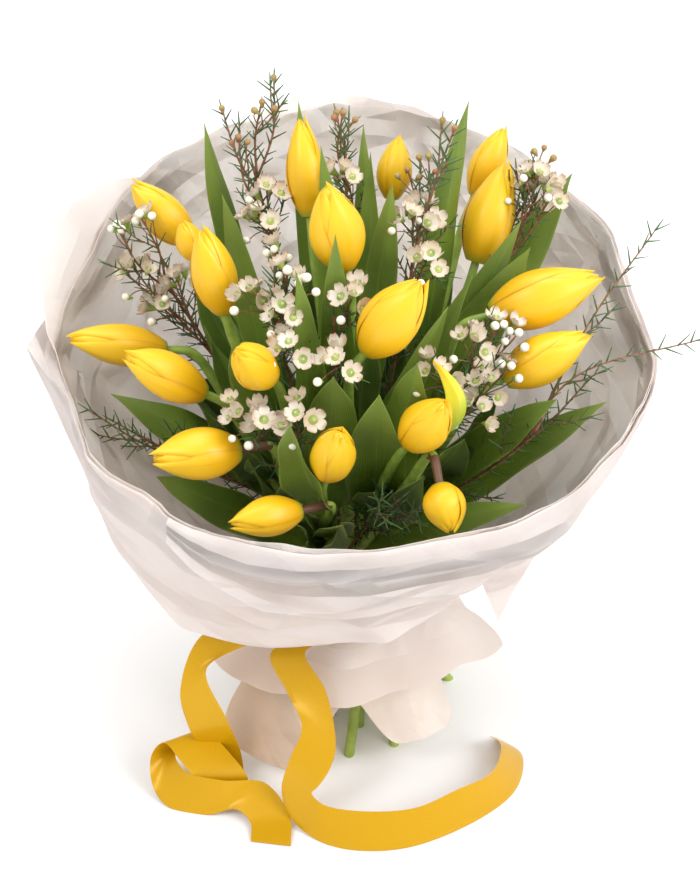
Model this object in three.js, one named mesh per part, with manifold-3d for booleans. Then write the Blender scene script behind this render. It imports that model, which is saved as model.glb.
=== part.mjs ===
// A hand-tied bunch of nineteen yellow tulips with waxflower, in a frosted paper wrap with a satin ribbon.
// The stems cross in a spiral at the tie, so the bunch stands unheld on their splayed cut ends.
// Millimetres, +Z up, the front towards -Y. The origin is the cut end of the middle stem.
import * as THREE from "three";
import { mergeVertices } from "three/addons/utils/BufferGeometryUtils.js";
import Module from "manifold-3d";

const wasm = await Module();
wasm.setup();

// Driving dimensions
const TIE_HEIGHT = 105;
const SPIRAL = 28; // a stem has turned 45 degrees round the bunch this far above or below the tie
const SPREAD = 140; // above the tie, the height over which a stem finds its own place in the crown
const GAP = 0.3;
const STEM_RADIUS = 3.5;
const TWIG_RADIUS = 1.3;
const STEM_ROOM = 0.24; // left between two stems at the tie
const MIDDLE_STEM = 1; // the second tulip is the middle of the bunch
const NECK = 18; // straight end of a stem under its bloom
const LEAF_THICKNESS = 0.8;
const PAPER_THICKNESS = 0.9;
const PAPER_PITCH = 1.25; // from one sheet to the next where the tie gathers them
const PAPER_LOOSENESS = 1.9; // added to that pitch where the sheets open out
const PAPER_SIDES = 28;
const FUNNEL_ROWS = 4; // rows of faces from the tie to the rim
const RIM_RADIUS = 170;
const RIBBON_WIDTH = 25;
const RIBBON_THICKNESS = 0.8;
const WAIST_ROOM = 3.2; // from the stems to the first sheet of paper, where the tie is
const NEEDLE_LENGTH = 10;
const NEEDLE_STEP = 20;
const NEEDLE_ROOT = 1.2; // sunk in its twig
const GOLDEN_ANGLE = Math.PI * (3 - Math.sqrt(5));

// Each tulip: the start and the tip of its bloom, the bloom's widest radius and the turn of its petals
// in degrees
const TULIPS = [
  { start: [-24, 38, 350], tip: [-30, 62, 405], radius: 11.5, turn: 20 },
  { start: [-3, -30, 355], tip: [-14, -36, 411], radius: 15.5, turn: 75 },
  { start: [-73, -25, 322], tip: [-85, -26, 379], radius: 13, turn: 10 },
  { start: [-97, 45, 329], tip: [-132, 50, 366], radius: 12.5, turn: 40 },
  { start: [-90, 8, 338], tip: [-98, 3, 366], radius: 8.5, turn: 0 },
  { start: [-112, 5, 276], tip: [-168, -15, 297], radius: 12.5, turn: 30 },
  { start: [-85, -57, 286], tip: [-128, -73, 324], radius: 13, turn: 0 },
  { start: [-46, -75, 308], tip: [-62, -109, 349], radius: 12, turn: 50 },
  { start: [10, -73, 326], tip: [40, -80, 377], radius: 16, turn: 15 },
  { start: [25, 60, 350], tip: [29, 70, 388], radius: 10.5, turn: 60 },
  { start: [77, 78, 342], tip: [94, 90, 384], radius: 11, turn: 35 },
  { start: [76, 35, 320], tip: [94, 62, 375], radius: 15, turn: 5 },
  { start: [83, -15, 313], tip: [148, -10, 338], radius: 16.5, turn: 25 },
  { start: [90, -42, 286], tip: [140, -36, 314], radius: 14, turn: 45 },
  { start: [-63, -88, 268], tip: [-113, -105, 273], radius: 15, turn: 20 },
  { start: [-28, -118, 247], tip: [-68, -138, 253], radius: 11, turn: 0 },
  { start: [-13, -110, 267], tip: [-5, -131, 311], radius: 12.5, turn: 70 },
  { start: [34, -99, 281], tip: [52, -122, 324], radius: 13.5, turn: 30 },
  { start: [50, -122, 268], tip: [56, -145, 252], radius: 12, turn: 10 },
];

// Each leaf: its tulip, where it leaves the stem, its tip, its width, the bearing that its back faces,
// how far it bows that way, and how far its halves fold up in degrees.
const LEAVES = [
  { tulip: 4, height: 225, tip: [-87, 66, 398], width: 19, back: 120, bow: 14, fold: 35 },
  { tulip: 3, height: 210, tip: [-74, 10, 380], width: 19, back: 100, bow: 7, fold: 30 },
  { tulip: 1, height: 240, tip: [-17, 28, 402], width: 20, back: 290, bow: 12, fold: 30 },
  { tulip: 1, height: 215, tip: [-31, 84, 403], width: 20, back: 95, bow: 14, fold: 30 },
  { tulip: 10, height: 230, tip: [8, 66, 397], width: 17, back: 110, bow: 0, fold: 35 },
  { tulip: 10, height: 215, tip: [12, 36, 394], width: 17, back: 250, bow: 2, fold: 30 },
  { tulip: 2, height: 215, tip: [24, -8, 397], width: 23, back: 60, bow: 8, fold: 20 },
  { tulip: 2, height: 205, tip: [-8, -58, 392], width: 22, back: 260, bow: 10, fold: 25 },
  { tulip: 8, height: 205, tip: [-30, -70, 376], width: 22, back: 300, bow: 12, fold: 25 },
  { tulip: 12, height: 215, tip: [69, 42, 424], width: 22, back: 110, bow: 12, fold: 30 },
  { tulip: 11, height: 200, tip: [134, 62, 366], width: 34, back: 60, bow: 10, fold: 20 },
  { tulip: 13, height: 200, tip: [101, 20, 357], width: 24, back: 90, bow: 8, fold: 15 },
  { tulip: 13, height: 195, tip: [106, 9, 345], width: 34, back: 85, bow: 5, fold: 10 },
  { tulip: 13, height: 175, tip: [70, -34, 352], width: 20, back: 230, bow: 10, fold: 30 },
  { tulip: 9, height: 200, tip: [55, -62, 348], width: 19, back: 280, bow: 6, fold: 25 },
  { tulip: 18, height: 215, tip: [37, -104, 337], width: 28, back: 60, bow: 6, fold: 20 },
  { tulip: 17, height: 200, tip: [-9, -94, 322], width: 34, back: 90, bow: 8, fold: 20 },
  { tulip: 16, height: 232, tip: [-33, -116, 305], width: 28, back: 240, bow: 6, fold: 40 },
  { tulip: 18, height: 190, tip: [16, -112, 322], width: 36, back: 270, bow: 6, fold: 20 },
  { tulip: 8, height: 215, tip: [-66, -72, 332], width: 36, back: 150, bow: 6, fold: 15 },
  { tulip: 6, height: 165, tip: [-142, -28, 266], width: 32, back: 170, bow: -10, fold: 15 },
  { tulip: 15, height: 150, tip: [-112, -84, 246], width: 26, back: 180, bow: 6, fold: 15 },
  { tulip: 16, height: 150, tip: [-4, -138, 252], width: 24, back: 270, bow: -8, fold: 20 },
  { tulip: 14, height: 160, tip: [150, -48, 274], width: 28, back: 20, bow: -10, fold: 15 },
  { tulip: 14, height: 185, tip: [118, -72, 292], width: 26, back: 200, bow: -8, fold: 20 },
  { tulip: 19, height: 160, tip: [100, -108, 244], width: 22, back: 350, bow: -16, fold: 20 },
];

// Each sprig ends in a flower, a bud or bare needles, at the point given, by way of its own bend if it
// has one.
const SPRAYS = [
  { crown: [-58, 58, 372], sprigs: [
    ["needles", [-76, 72, 402]], ["bud", [-66, 54, 394]], ["bud", [-52, 64, 412]],
    ["needles", [-45, 76, 420]], ["flower", [-50, 46, 366]], ["flower", [-56, 30, 358]]] },
  { crown: [-118, 28, 322], sprigs: [
    ["bud", [-138, 24, 352]], ["bud", [-124, 22, 360]], ["flower", [-104, 22, 318]],
    ["flower", [-118, 20, 304]], ["flower", [-131, 20, 327]]] },
  { crown: [-45, -46, 338], sprigs: [
    ["flower", [-57, -46, 350]], ["flower", [-38, -64, 350]], ["bud", [-35, -50, 364]],
    ["bud", [-24, -58, 364]], ["bud", [-43, -30, 366]], ["flower", [-34, -84, 338]]] },
  { crown: [-9, -56, 338], sprigs: [
    ["flower", [2, -62, 356]], ["flower", [-8, -94, 334]]] },
  { crown: [-3, 58, 384], sprigs: [
    ["bud", [-4, 54, 410]], ["needles", [-8, 66, 402]], ["flower", [-4, 40, 380]]] },
  { crown: [42, 12, 362], sprigs: [
    ["needles", [54, 50, 405]], ["needles", [60, 30, 410]], ["flower", [36, -2, 374]],
    ["flower", [46, 22, 368]], ["flower", [46, -28, 362]], ["bud", [34, 40, 380]],
    ["bud", [46, 38, 390]]] },
  { crown: [112, 48, 358], sprigs: [
    ["flower", [112, 40, 378]], ["flower", [122, 40, 370]], ["flower", [110, 50, 364]],
    ["bud", [116, 60, 384]]] },
  { crown: [76, -62, 304], sprigs: [
    ["bud", [88, -46, 326]], ["bud", [97, -44, 319]], ["bud", [92, -62, 308]],
    ["flower", [70, -60, 326]], ["flower", [50, -86, 322]], ["flower", [80, -72, 306]],
    ["flower", [74, -86, 296]]] },
  { crown: [112, -66, 268], sprigs: [
    ["needles", [206, -20, 299], [130, -47, 290]], ["needles", [180, 16, 353], [140, -20, 310]],
    ["needles", [137, -52, 290]]] },
  { crown: [-126, -50, 252], sprigs: [
    ["needles", [-155, -39, 262]], ["needles", [-140, -50, 262]]] },
  { crown: [-40, -90, 288], sprigs: [
    ["flower", [-62, -94, 298]], ["flower", [-48, -102, 298]], ["flower", [-30, -104, 304]]] },
  { crown: [28, -112, 250], sprigs: [
    ["needles", [40, -128, 256]], ["needles", [18, -128, 264]]] },
];

// Each tail leaves the ribbon's round at a bearing. Then come points on its left and right edges, as seen
// from the front, down to the cut end.
const LEFT_TAIL = { from: 235, stations: [
  [[-66, -44, 106], [-47, -54, 98]],
  [[-94, -60, 104], [-71, -61, 95]],
  [[-107, -74, 71], [-90, -72, 88]],
  [[-102, -80, 45], [-78, -80, 53]],
  [[-95, -76, 20], [-70, -78, 22]],
  [[-98, -84, 6], [-68, -84, 6]],
  [[-98, -97, 7], [-66, -97, 8]],
  [[-98, -99, 18], [-65, -98, 20]],
  [[-108, -90, 27], [-79, -82, 29]],
  [[-119, -80, 33], [-94, -67, 33]],
  [[-127, -82, 24], [-107, -66, 20]],
  [[-126, -94, 8], [-112, -80, 22]],
  [[-116, -105, 1], [-104, -94, 21]],
  [[-90, -112, 1], [-80, -104, 23]],
  [[-72, -114, 8], [-54, -101, 18]],
  [[-63, -121, 4], [-38, -118, 6]],
  [[-62, -135, 1], [-37, -139, 1]],
] };
const RIGHT_TAIL = { from: 285, stations: [
  [[-24, -50, 99], [-2, -54, 99]],
  [[-50, -62, 92], [-28, -66, 97]],
  [[-39, -80, 75], [-15, -85, 81]],
  [[-30, -98, 63], [-9, -108, 54]],
  [[-38, -108, 44], [-14, -116, 41]],
  [[-43, -113, 22], [-21, -119, 31]],
  [[-36, -122, 6], [-24, -119, 27]],
  [[-17, -136, 0.6], [-17, -124, 22]],
  [[5, -142.5, 0.6], [8, -129, 21]],
  [[36, -140, 0.6], [41, -126, 21]],
  [[74, -121, 0.6], [66, -113, 23]],
  [[103, -95, 0.6], [89, -96, 21]],
  [[112, -74, 0.6], [96, -80, 20]],
  [[112, -55, 0.6], [97, -65, 19]],
  [[97, -41, 0.6], [91, -58, 18]],
] };

const finish = (color, roughness) => new THREE.MeshStandardMaterial({ color, roughness, metalness: 0 });
const PETAL = finish(0xf7c915, 0.45);
const LEAF = finish(0x4f7f35, 0.5);
const WAXFLOWER = finish(0x6a7a45, 0.6);
const TISSUE = finish(0xf4efea, 0.7);
const TWINE = finish(0xb9a27c, 0.8);
const RIBBON = finish(0xf2bd1e, 0.35);

// Solids

function toSolid(geometry) {
  geometry.deleteAttribute("normal");
  geometry.deleteAttribute("uv");
  const merged = mergeVertices(geometry, 1e-4);
  return new wasm.Manifold(new wasm.Mesh({
    numProp: 3,
    vertProperties: new Float32Array(merged.attributes.position.array),
    triVerts: new Uint32Array(merged.index.array),
  }));
}

function toGeometry(solid) {
  const mesh = solid.getMesh();
  const geometry = new THREE.BufferGeometry();
  geometry.setAttribute("position", new THREE.BufferAttribute(new Float32Array(mesh.vertProperties), 3));
  geometry.setIndex(new THREE.BufferAttribute(new Uint32Array(mesh.triVerts), 1));
  geometry.computeVertexNormals();
  return geometry;
}

const join = (solids) => solids.reduce((whole, piece) => whole.add(piece));

// A closed solid between two skins that are split alike. outer(u, v) and inner(u, v) give their points,
// u and v run from 0 to 1, and the skins face outwards where u across v does. A ring closes on itself in u.
function slab(outer, inner, across, along, ring = false) {
  const plane = new THREE.PlaneGeometry(1, 1, across, along);
  const uv = plane.attributes.uv;
  const points = [];
  for (const skin of [outer, inner]) {
    for (let i = 0; i < uv.count; i++) points.push(...skin(uv.getX(i), uv.getY(i)).toArray());
  }
  const index = [...plane.index.array];
  for (let i = 0; i < plane.index.count; i += 3) {
    const [a, b, c] = [0, 2, 1].map((corner) => plane.index.array[i + corner] + uv.count);
    index.push(a, b, c);
  }
  const row = across + 1;
  const edges = [];
  for (let i = 0; i < across; i++) edges.push([along * row + i, along * row + i + 1], [i + 1, i]);
  for (let i = 0; i < along && !ring; i++) {
    edges.push([(i + 1) * row + across, i * row + across], [i * row, (i + 1) * row]);
  }
  for (const [a, b] of edges) index.push(b, a, a + uv.count, b, a + uv.count, b + uv.count);
  const geometry = new THREE.BufferGeometry();
  geometry.setAttribute("position", new THREE.Float32BufferAttribute(points, 3));
  geometry.setIndex(index);
  return toSolid(geometry);
}

// A sheet of even thickness about the surface place(u, v).
function sheet(place, thickness, across, along, ring = false) {
  const STEP = 0.002;
  const low = (value) => (ring ? value - STEP : Math.max(0, value - STEP));
  const high = (value) => (ring ? value + STEP : Math.min(1, value + STEP));
  const skin = (side) => (u, v) => {
    const acrossway = place(high(u), v).sub(place(low(u), v));
    const lengthway = place(u, Math.min(1, v + STEP)).sub(place(u, Math.max(0, v - STEP)));
    const normal = acrossway.cross(lengthway).normalize();
    return place(u, v).addScaledVector(normal, side * thickness / 2);
  };
  return slab(skin(1), skin(-1), across, along, ring);
}

// A rod along a curve
function tube(points, radius, sides, steps) {
  const section = new THREE.Shape();
  for (let i = 0; i < sides; i++) {
    const angle = (2 * Math.PI * i) / sides;
    if (i === 0) section.moveTo(radius, 0);
    else section.lineTo(radius * Math.cos(angle), radius * Math.sin(angle));
  }
  const path = new THREE.CatmullRomCurve3(points);
  return toSolid(new THREE.ExtrudeGeometry(section, { steps, bevelEnabled: false, extrudePath: path }));
}

// The smooth step from 0 to 1
const ease = (x) => {
  const t = Math.min(1, Math.max(0, x));
  return t * t * (3 - 2 * t);
};
const vector = (place) => new THREE.Vector3(...place);
const bearing = (degrees) => {
  const angle = THREE.MathUtils.degToRad(degrees);
  return new THREE.Vector3(Math.cos(angle), Math.sin(angle), 0);
};

// How the stems cross

// Straight stems that lean round one axis never meet: each keeps its place in one turning, widening plan.
function fromPlan(plan, height) {
  const rise = (height - TIE_HEIGHT) / SPIRAL;
  const place = plan.clone().rotateAround(new THREE.Vector2(), Math.atan(rise));
  place.multiplyScalar(Math.hypot(1, rise));
  return new THREE.Vector3(place.x, place.y, height);
}

function toPlan(point) {
  const rise = (point.z - TIE_HEIGHT) / SPIRAL;
  const place = new THREE.Vector2(point.x, point.y).divideScalar(Math.hypot(1, rise));
  return place.rotateAround(new THREE.Vector2(), -Math.atan(rise));
}

// The stems are pressed together at the tie, as near to their wanted places as their thickness lets them.
// Two that lean the same way pass closer than their places in the plan are, by their slant.
function packStems(wanted, radii) {
  const ROUNDS = 400;
  const PULL = 0.985;
  const places = wanted.map((place) => place.clone());
  for (let round = 0; round < ROUNDS; round++) {
    const pull = round < ROUNDS / 2 ? PULL : 1;
    for (const place of places) place.multiplyScalar(pull);
    for (let i = 0; i < places.length; i++) {
      for (let j = i + 1; j < places.length; j++) {
        const apart = places[j].clone().sub(places[i]);
        const middle = places[i].clone().add(places[j]).multiplyScalar(0.5);
        const slant = middle.cross(apart) / Math.hypot(middle.length(), SPIRAL);
        const short = radii[i] + radii[j] + STEM_ROOM - Math.sqrt(apart.lengthSq() - slant ** 2);
        if (short <= 0) continue;
        apart.setLength(short / 2);
        places[i].sub(apart);
        places[j].add(apart);
      }
    }
    places[MIDDLE_STEM].set(0, 0);
  }
  return places;
}

const necks = TULIPS.map(({ start, tip }) => {
  const axis = vector(tip).sub(vector(start)).normalize();
  return vector(start).addScaledVector(axis, -NECK);
});
const crowns = [...necks, ...SPRAYS.map(({ crown }) => vector(crown))];
const radii = [...TULIPS.map(() => STEM_RADIUS), ...SPRAYS.map(() => TWIG_RADIUS)];
const wantedPlaces = crowns.map(toPlan);
const tiePlaces = packStems(wantedPlaces, radii);
const bunchRadius = Math.max(...tiePlaces.map((place, i) => place.length() + radii[i]));

// Where the stem's centre is at a height up to its neck or crown
function stemAt(number, height) {
  const share = ease((height - TIE_HEIGHT) / SPREAD);
  return fromPlan(tiePlaces[number].clone().lerp(wantedPlaces[number], share), height);
}

function stemPath(number, top) {
  const BELOW = -8;
  const LEVELS = 9;
  const points = [];
  for (let i = 0; i < LEVELS; i++) {
    points.push(stemAt(number, BELOW + ((crowns[number].z - BELOW) * i) / LEVELS));
  }
  points.push(crowns[number].clone());
  if (top) points.push(top);
  return points;
}

const cutFlat = (solid) => solid.trimByPlane([0, 0, 1], 0);

// Tulips

// The bloom's radius, as a share of its widest, from its start at 0 to its tip at 1
const bloomOutline = (v) => Math.sin(Math.PI * (0.1 + 0.82 * v) ** 0.85);

// Three outer petals lap over three inner ones. Each petal's edge is a step, and its tip stands on its own.
function makeBloom({ start, tip, radius, turn }) {
  const HEIGHTS = [0, 0.18, 0.5, 0.82, 1];
  const [OUTER, OUTER_EDGE, INNER, INNER_EDGE] = [1, 0.96, 0.9, 0.84];
  const LAP = 4; // degrees that the step between two petals takes
  const SAMPLES = 7; // to each outer petal and the inner one beside it
  const axis = vector(tip).sub(vector(start));
  const length = axis.length();
  const upright = new THREE.Quaternion().setFromUnitVectors(new THREE.Vector3(0, 0, 1), axis.normalize());
  const base = vector(start).addScaledVector(axis, GAP);
  const frame = new THREE.Matrix4().compose(base, upright, new THREE.Vector3(1, 1, 1));
  const petalPoint = (side, v) => {
    const half = 38 - 16 * ease((v - 0.5) / 0.5);
    const angles = [-half, -half / 3, half / 3, half, half + LAP, 60, 120 - half - LAP];
    const layers = [OUTER_EDGE, OUTER, OUTER, OUTER_EDGE, INNER_EDGE, INNER, INNER_EDGE];
    const reach = [0.94, 1, 1, 0.94, 0.9, 0.97, 0.9];
    const sample = side % SAMPLES;
    const angle = THREE.MathUtils.degToRad(turn + angles[sample] + 120 * Math.floor(side / SAMPLES));
    const r = radius * bloomOutline(v) * (1 + (layers[sample] - 1) * ease(4 * v));
    const height = length * v * (1 + (reach[sample] - 1) * v ** 4);
    return [r * Math.cos(angle), r * Math.sin(angle), height];
  };
  const SIDES = 3 * SAMPLES;
  const sides = HEIGHTS.map((v) => new THREE.Vector2(1, v));
  const profile = [new THREE.Vector2(0, 0), ...sides, new THREE.Vector2(0, 1)];
  const bloom = new THREE.LatheGeometry(profile, SIDES);
  const place = bloom.attributes.position;
  for (let i = 0; i < place.count; i++) {
    const side = Math.floor(i / profile.length) % SIDES;
    const row = i % profile.length;
    if (row === 0) place.setXYZ(i, 0, 0, 0);
    else if (row > HEIGHTS.length) place.setXYZ(i, 0, 0, 0.84 * length);
    else place.setXYZ(i, ...petalPoint(side, HEIGHTS[row - 1]));
  }
  return toSolid(bloom.applyMatrix4(frame));
}

function makeLeaf({ tulip, height, tip, width, back, bow, fold }) {
  const root = stemAt(tulip - 1, height);
  const away = bearing(back);
  const bend = root.clone().add(vector(tip)).multiplyScalar(0.5).addScaledVector(away, bow);
  const spine = new THREE.QuadraticBezierCurve3(root, bend, vector(tip));
  const rise = Math.sin(THREE.MathUtils.degToRad(fold));
  const place = (u, v) => {
    const side = 2 * u - 1;
    const along = spine.getTangent(v);
    const acrossway = new THREE.Vector3().crossVectors(along, away).normalize();
    const inwards = new THREE.Vector3().crossVectors(acrossway, along).normalize().negate();
    const half = (width / 2) * (0.06 + 0.94 * Math.sin(Math.PI * v ** 0.8) ** 0.75);
    const point = spine.getPoint(v).addScaledVector(acrossway, side * half);
    return point.addScaledVector(inwards, -Math.abs(side) * half * rise);
  };
  return sheet(place, LEAF_THICKNESS, 2, 6);
}

function makeLeafyStem(number) {
  const stem = tube(stemPath(number, vector(TULIPS[number].start)), STEM_RADIUS, 5, 9);
  const leaves = LEAVES.filter(({ tulip }) => tulip === number + 1).map(makeLeaf);
  return cutFlat(join([stem, ...leaves]));
}

// Waxflower

// A solid that stands on a point and looks along a direction, made pointing up +Z
function aim(geometry, point, direction) {
  const turn = new THREE.Quaternion();
  turn.setFromUnitVectors(new THREE.Vector3(0, 0, 1), direction.clone().normalize());
  return toSolid(geometry.applyMatrix4(new THREE.Matrix4().compose(point, turn, new THREE.Vector3(1, 1, 1))));
}

function needleAt(point, direction, room) {
  const cone = new THREE.ConeGeometry(0.75 + room, NEEDLE_LENGTH + room, 3).rotateX(Math.PI / 2);
  return aim(cone.translate(0, 0, (NEEDLE_LENGTH + room) / 2 - NEEDLE_ROOT), point, direction);
}

// A shallow cup of five round petals on a small calyx
function flowerAt(point, direction, room) {
  const RADIUS = 6;
  const profile = [[0, -3 - room], [RADIUS + room, 2 + room], [0, 0.3 + room]];
  const cup = new THREE.LatheGeometry(profile.map(([r, z]) => new THREE.Vector2(r, z)), 10);
  const place = cup.attributes.position;
  for (let i = 0; i < place.count; i++) {
    const [x, z] = [place.getX(i), place.getZ(i)];
    const notch = Math.cos(5 * Math.atan2(x, z)) < 0 ? 0.72 : 1;
    place.setXYZ(i, x * notch, place.getY(i), z * notch);
  }
  return aim(cup.rotateX(Math.PI / 2), point, direction);
}

function budAt(point, direction, room) {
  return aim(new THREE.IcosahedronGeometry(3 + room, 0), point, direction);
}

// The needles stand round a twig in a spiral, the furthest at its tip. stretches counts the twig's straight
// lengths.
function needlesAlong(path, stretches, from) {
  const joints = path.getSpacedPoints(stretches);
  const needles = [];
  const count = Math.ceil((path.getLength() * (1 - from)) / NEEDLE_STEP);
  for (let i = 0; i < count; i++) {
    const share = (1 - ((1 - from) * i) / count) * stretches;
    const stretch = Math.min(stretches - 1, Math.floor(share));
    const point = joints[stretch].clone().lerp(joints[stretch + 1], share - stretch);
    const along = joints[stretch + 1].clone().sub(joints[stretch]).normalize();
    const side = new THREE.Vector3(1, 0, 0).cross(along).normalize().applyAxisAngle(along, i * GOLDEN_ANGLE);
    needles.push({ make: needleAt, point, direction: share === stretches ? along : along.clone().add(side) });
  }
  return needles;
}

function makeSpray(number, obstacles) {
  const { sprigs } = SPRAYS[number - TULIPS.length];
  const SPRIG_RADIUS = 0.7;
  const TWIG_STRETCHES = 10;
  const FORK_DROP = 50;
  const twig = new THREE.CatmullRomCurve3(stemPath(number));
  const solids = [tube(stemPath(number), TWIG_RADIUS, 3, TWIG_STRETCHES)];
  const trimmings = needlesAlong(twig, TWIG_STRETCHES, 0.82);
  for (const [kind, tip, bend] of sprigs) {
    const end = vector(tip);
    const fork = stemAt(number, Math.min(end.z - FORK_DROP, crowns[number].z - 8));
    const points = bend ? [fork, vector(bend), end] : [fork, end];
    const stretches = bend ? 4 : 1;
    solids.push(tube(points, SPRIG_RADIUS, 3, stretches));
    const sprig = new THREE.CatmullRomCurve3(points);
    if (kind === "needles") trimmings.push(...needlesAlong(sprig, stretches, 0.3));
    const outward = end.clone().sub(new THREE.Vector3(0, 0, TIE_HEIGHT)).normalize();
    if (kind === "flower") trimmings.push({ make: flowerAt, point: end, direction: outward });
    if (kind === "bud") trimmings.push({ make: budAt, point: end, direction: outward });
  }
  for (const { make, point, direction } of trimmings) {
    const free = make(point, direction, 2 * GAP).intersect(obstacles).isEmpty();
    if (free) solids.push(make(point, direction, 0));
  }
  return cutFlat(join(solids));
}

// Paper

const rimHeight = (angle) => 262 + 90 * ((1 + Math.sin(angle - 0.15)) / 2) ** 2;
const rimRadius = (angle) => RIM_RADIUS + 15 * Math.max(0, Math.cos(angle - 0.9)) ** 2;
const pleats = (angle) => 2.4 * Math.cos(8 * angle + 0.6) + 1.6 * Math.cos(5 * angle + 2);

// A point on the paper's funnel. rise runs from -1 at the lower hem to 0 at the tie and 1 at the rim.
function funnel(angle, rise, layer, foot = 0) {
  const waist = bunchRadius + WAIST_ROOM + layer * PAPER_PITCH;
  const open = Math.min(1, Math.abs(rise) * FUNNEL_ROWS);
  const loose = layer * PAPER_LOOSENESS * open;
  const height = TIE_HEIGHT + rise * (rise < 0 ? TIE_HEIGHT - foot : rimHeight(angle) - TIE_HEIGHT);
  const lean = Math.hypot(1, (height - TIE_HEIGHT) / SPIRAL);
  const bowl = waist + (rimRadius(angle) - waist) * Math.sin((Math.PI / 2) * Math.max(0, rise)) ** 1.8;
  const wave = pleats(angle) * open * (rise > 0 ? 1 : 0.4);
  const radius = (rise < 0 ? waist * lean : bowl) + loose + wave;
  return new THREE.Vector3(radius * Math.cos(angle), radius * Math.sin(angle), height);
}

const round = (u) => 2 * Math.PI * u;
// 1 at a bearing, down to 0 at width degrees to either side of it
const near = (angle, degrees, width) => {
  const past = THREE.MathUtils.euclideanModulo(THREE.MathUtils.radToDeg(angle) - degrees + 180, 360);
  return Math.max(0, 1 - Math.abs(past - 180) / width);
};

// The tissue lines the funnel, and its lower end hangs round the stems in two lobes.
function makeInnerTissue() {
  const foot = (angle) => 52 - 38 * ease(1.6 * near(angle, 228, 40)) - 24 * ease(1.6 * near(angle, 306, 34));
  const place = (u, v) => funnel(round(u), 2 * v - 1, 0, foot(round(u)));
  return sheet(place, PAPER_THICKNESS, PAPER_SIDES, 2 * FUNNEL_ROWS, true);
}

// The sheet behind the tissue shows its corners above the rim at the back and the left.
function makeBackSheet() {
  const corner = (angle) => near(angle, 163, 24) + 0.28 * near(angle, 99, 14);
  const place = (u, v) => {
    const angle = round(u);
    const row = v * (FUNNEL_ROWS + 1);
    const point = funnel(angle, Math.min(1, row / FUNNEL_ROWS), 1);
    const above = Math.max(0, row - FUNNEL_ROWS);
    const out = bearing(THREE.MathUtils.radToDeg(angle)).multiplyScalar(22 * corner(angle));
    return point.add(out.setZ(2 + 34 * corner(angle)).multiplyScalar(above));
  };
  return sheet(place, PAPER_THICKNESS, PAPER_SIDES, FUNNEL_ROWS + 1, true);
}

// The outer sheet is turned over at the rim and hangs outside it to a free hem, which hides the tie.
function makeOuterSheet() {
  const ROWS = FUNNEL_ROWS + 4;
  const hemHeight = (angle) => 152 - 17 * Math.max(0, Math.cos(angle - 3.67)) + 14 * near(angle, 325, 24);
  const hemRadius = (angle) => {
    const left = 24 * Math.max(0, Math.cos(angle - 3.3)) ** 2;
    return 113 + left - 10 * Math.max(0, Math.cos(angle - 6)) ** 2;
  };
  const place = (u, v) => {
    const angle = round(u);
    const row = v * ROWS;
    if (row <= FUNNEL_ROWS) return funnel(angle, row / FUNNEL_ROWS, 2);
    const edge = funnel(angle, 1, 2);
    const hang = (row - FUNNEL_ROWS) / (ROWS - FUNNEL_ROWS);
    const rim = Math.hypot(edge.x, edge.y) + 5 + 14 * near(angle, 183, 14) * (1 - hang);
    const swell = 8 * Math.sin(Math.PI * hang) - pleats(angle) * hang * 0.6;
    const radius = rim + (hemRadius(angle) - rim) * hang ** 1.45 + swell;
    const height = edge.z + 2 + (hemHeight(angle) - edge.z) * hang ** 1.45;
    return new THREE.Vector3(radius * Math.cos(angle), radius * Math.sin(angle), height);
  };
  return sheet(place, PAPER_THICKNESS, PAPER_SIDES, ROWS, true);
}

// Below the tie the ends of the paper flare into a short skirt with two corners. v runs up from its hem.
function skirtPoint(angle, v) {
  const corners = 0.35 * near(angle, 200, 40) + 0.3 * near(angle, 340, 40);
  const drop = (39 + 16 * corners) * (1 - v);
  const flare = 26 * (1 - v) ** 1.6 * (1 + corners);
  const waist = bunchRadius + WAIST_ROOM + 3 * PAPER_PITCH;
  const radius = waist * Math.hypot(1, drop / SPIRAL) + flare + pleats(angle) * (1 - v);
  return new THREE.Vector3(radius * Math.cos(angle), radius * Math.sin(angle), TIE_HEIGHT - drop);
}

const makeSkirt = () => sheet((u, v) => skirtPoint(round(u), v), PAPER_THICKNESS, PAPER_SIDES, 2, true);

// Bindings

function makeStemTie() {
  const [inside, outside, half] = [bunchRadius * 1.02 + GAP, bunchRadius * 1.02 + 1.6, 4];
  const profile = [[inside, -half], [outside, -half], [outside, half], [inside, half], [inside, -half]];
  const ring = new THREE.LatheGeometry(profile.map(([r, z]) => new THREE.Vector2(r, z)), PAPER_SIDES);
  return toSolid(ring.rotateX(Math.PI / 2).translate(0, 0, TIE_HEIGHT));
}

// The ribbon goes round the top of the skirt, gathered to half its width.
function ribbonRound(u, v) {
  const out = bearing(360 * u).multiplyScalar(PAPER_THICKNESS + RIBBON_THICKNESS);
  return skirtPoint(round(u), 1).lerp(skirtPoint(round(u), 0.5), 0.55 * (1 - v)).add(out);
}

const makeRibbonRing = () => sheet(ribbonRound, RIBBON_THICKNESS, PAPER_SIDES, 1, true);

// A tail starts against the middle of the ribbon's round.
function makeTail({ from, stations }) {
  const knot = ribbonRound(from / 360, 0.5).addScaledVector(bearing(from), RIBBON_THICKNESS + GAP);
  const [left, right] = [-1, 1].map((side, edge) => {
    const corner = knot.clone().addScaledVector(bearing(from + 90), (side * RIBBON_WIDTH) / 2);
    return new THREE.CatmullRomCurve3([corner, ...stations.map((station) => vector(station[edge]))]);
  });
  const place = (u, v) => left.getPoint(v).lerp(right.getPoint(v), u);
  return sheet(place, RIBBON_THICKNESS, 1, 2 * stations.length);
}

// The bunch

const bunch = new THREE.Group();
function add(name, solid, material) {
  const mesh = new THREE.Mesh(toGeometry(solid), material);
  mesh.name = name;
  bunch.add(mesh);
  return solid;
}
const numbered = (name, i) => `${name}_${String(i + 1).padStart(2, "0")}`;

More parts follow.
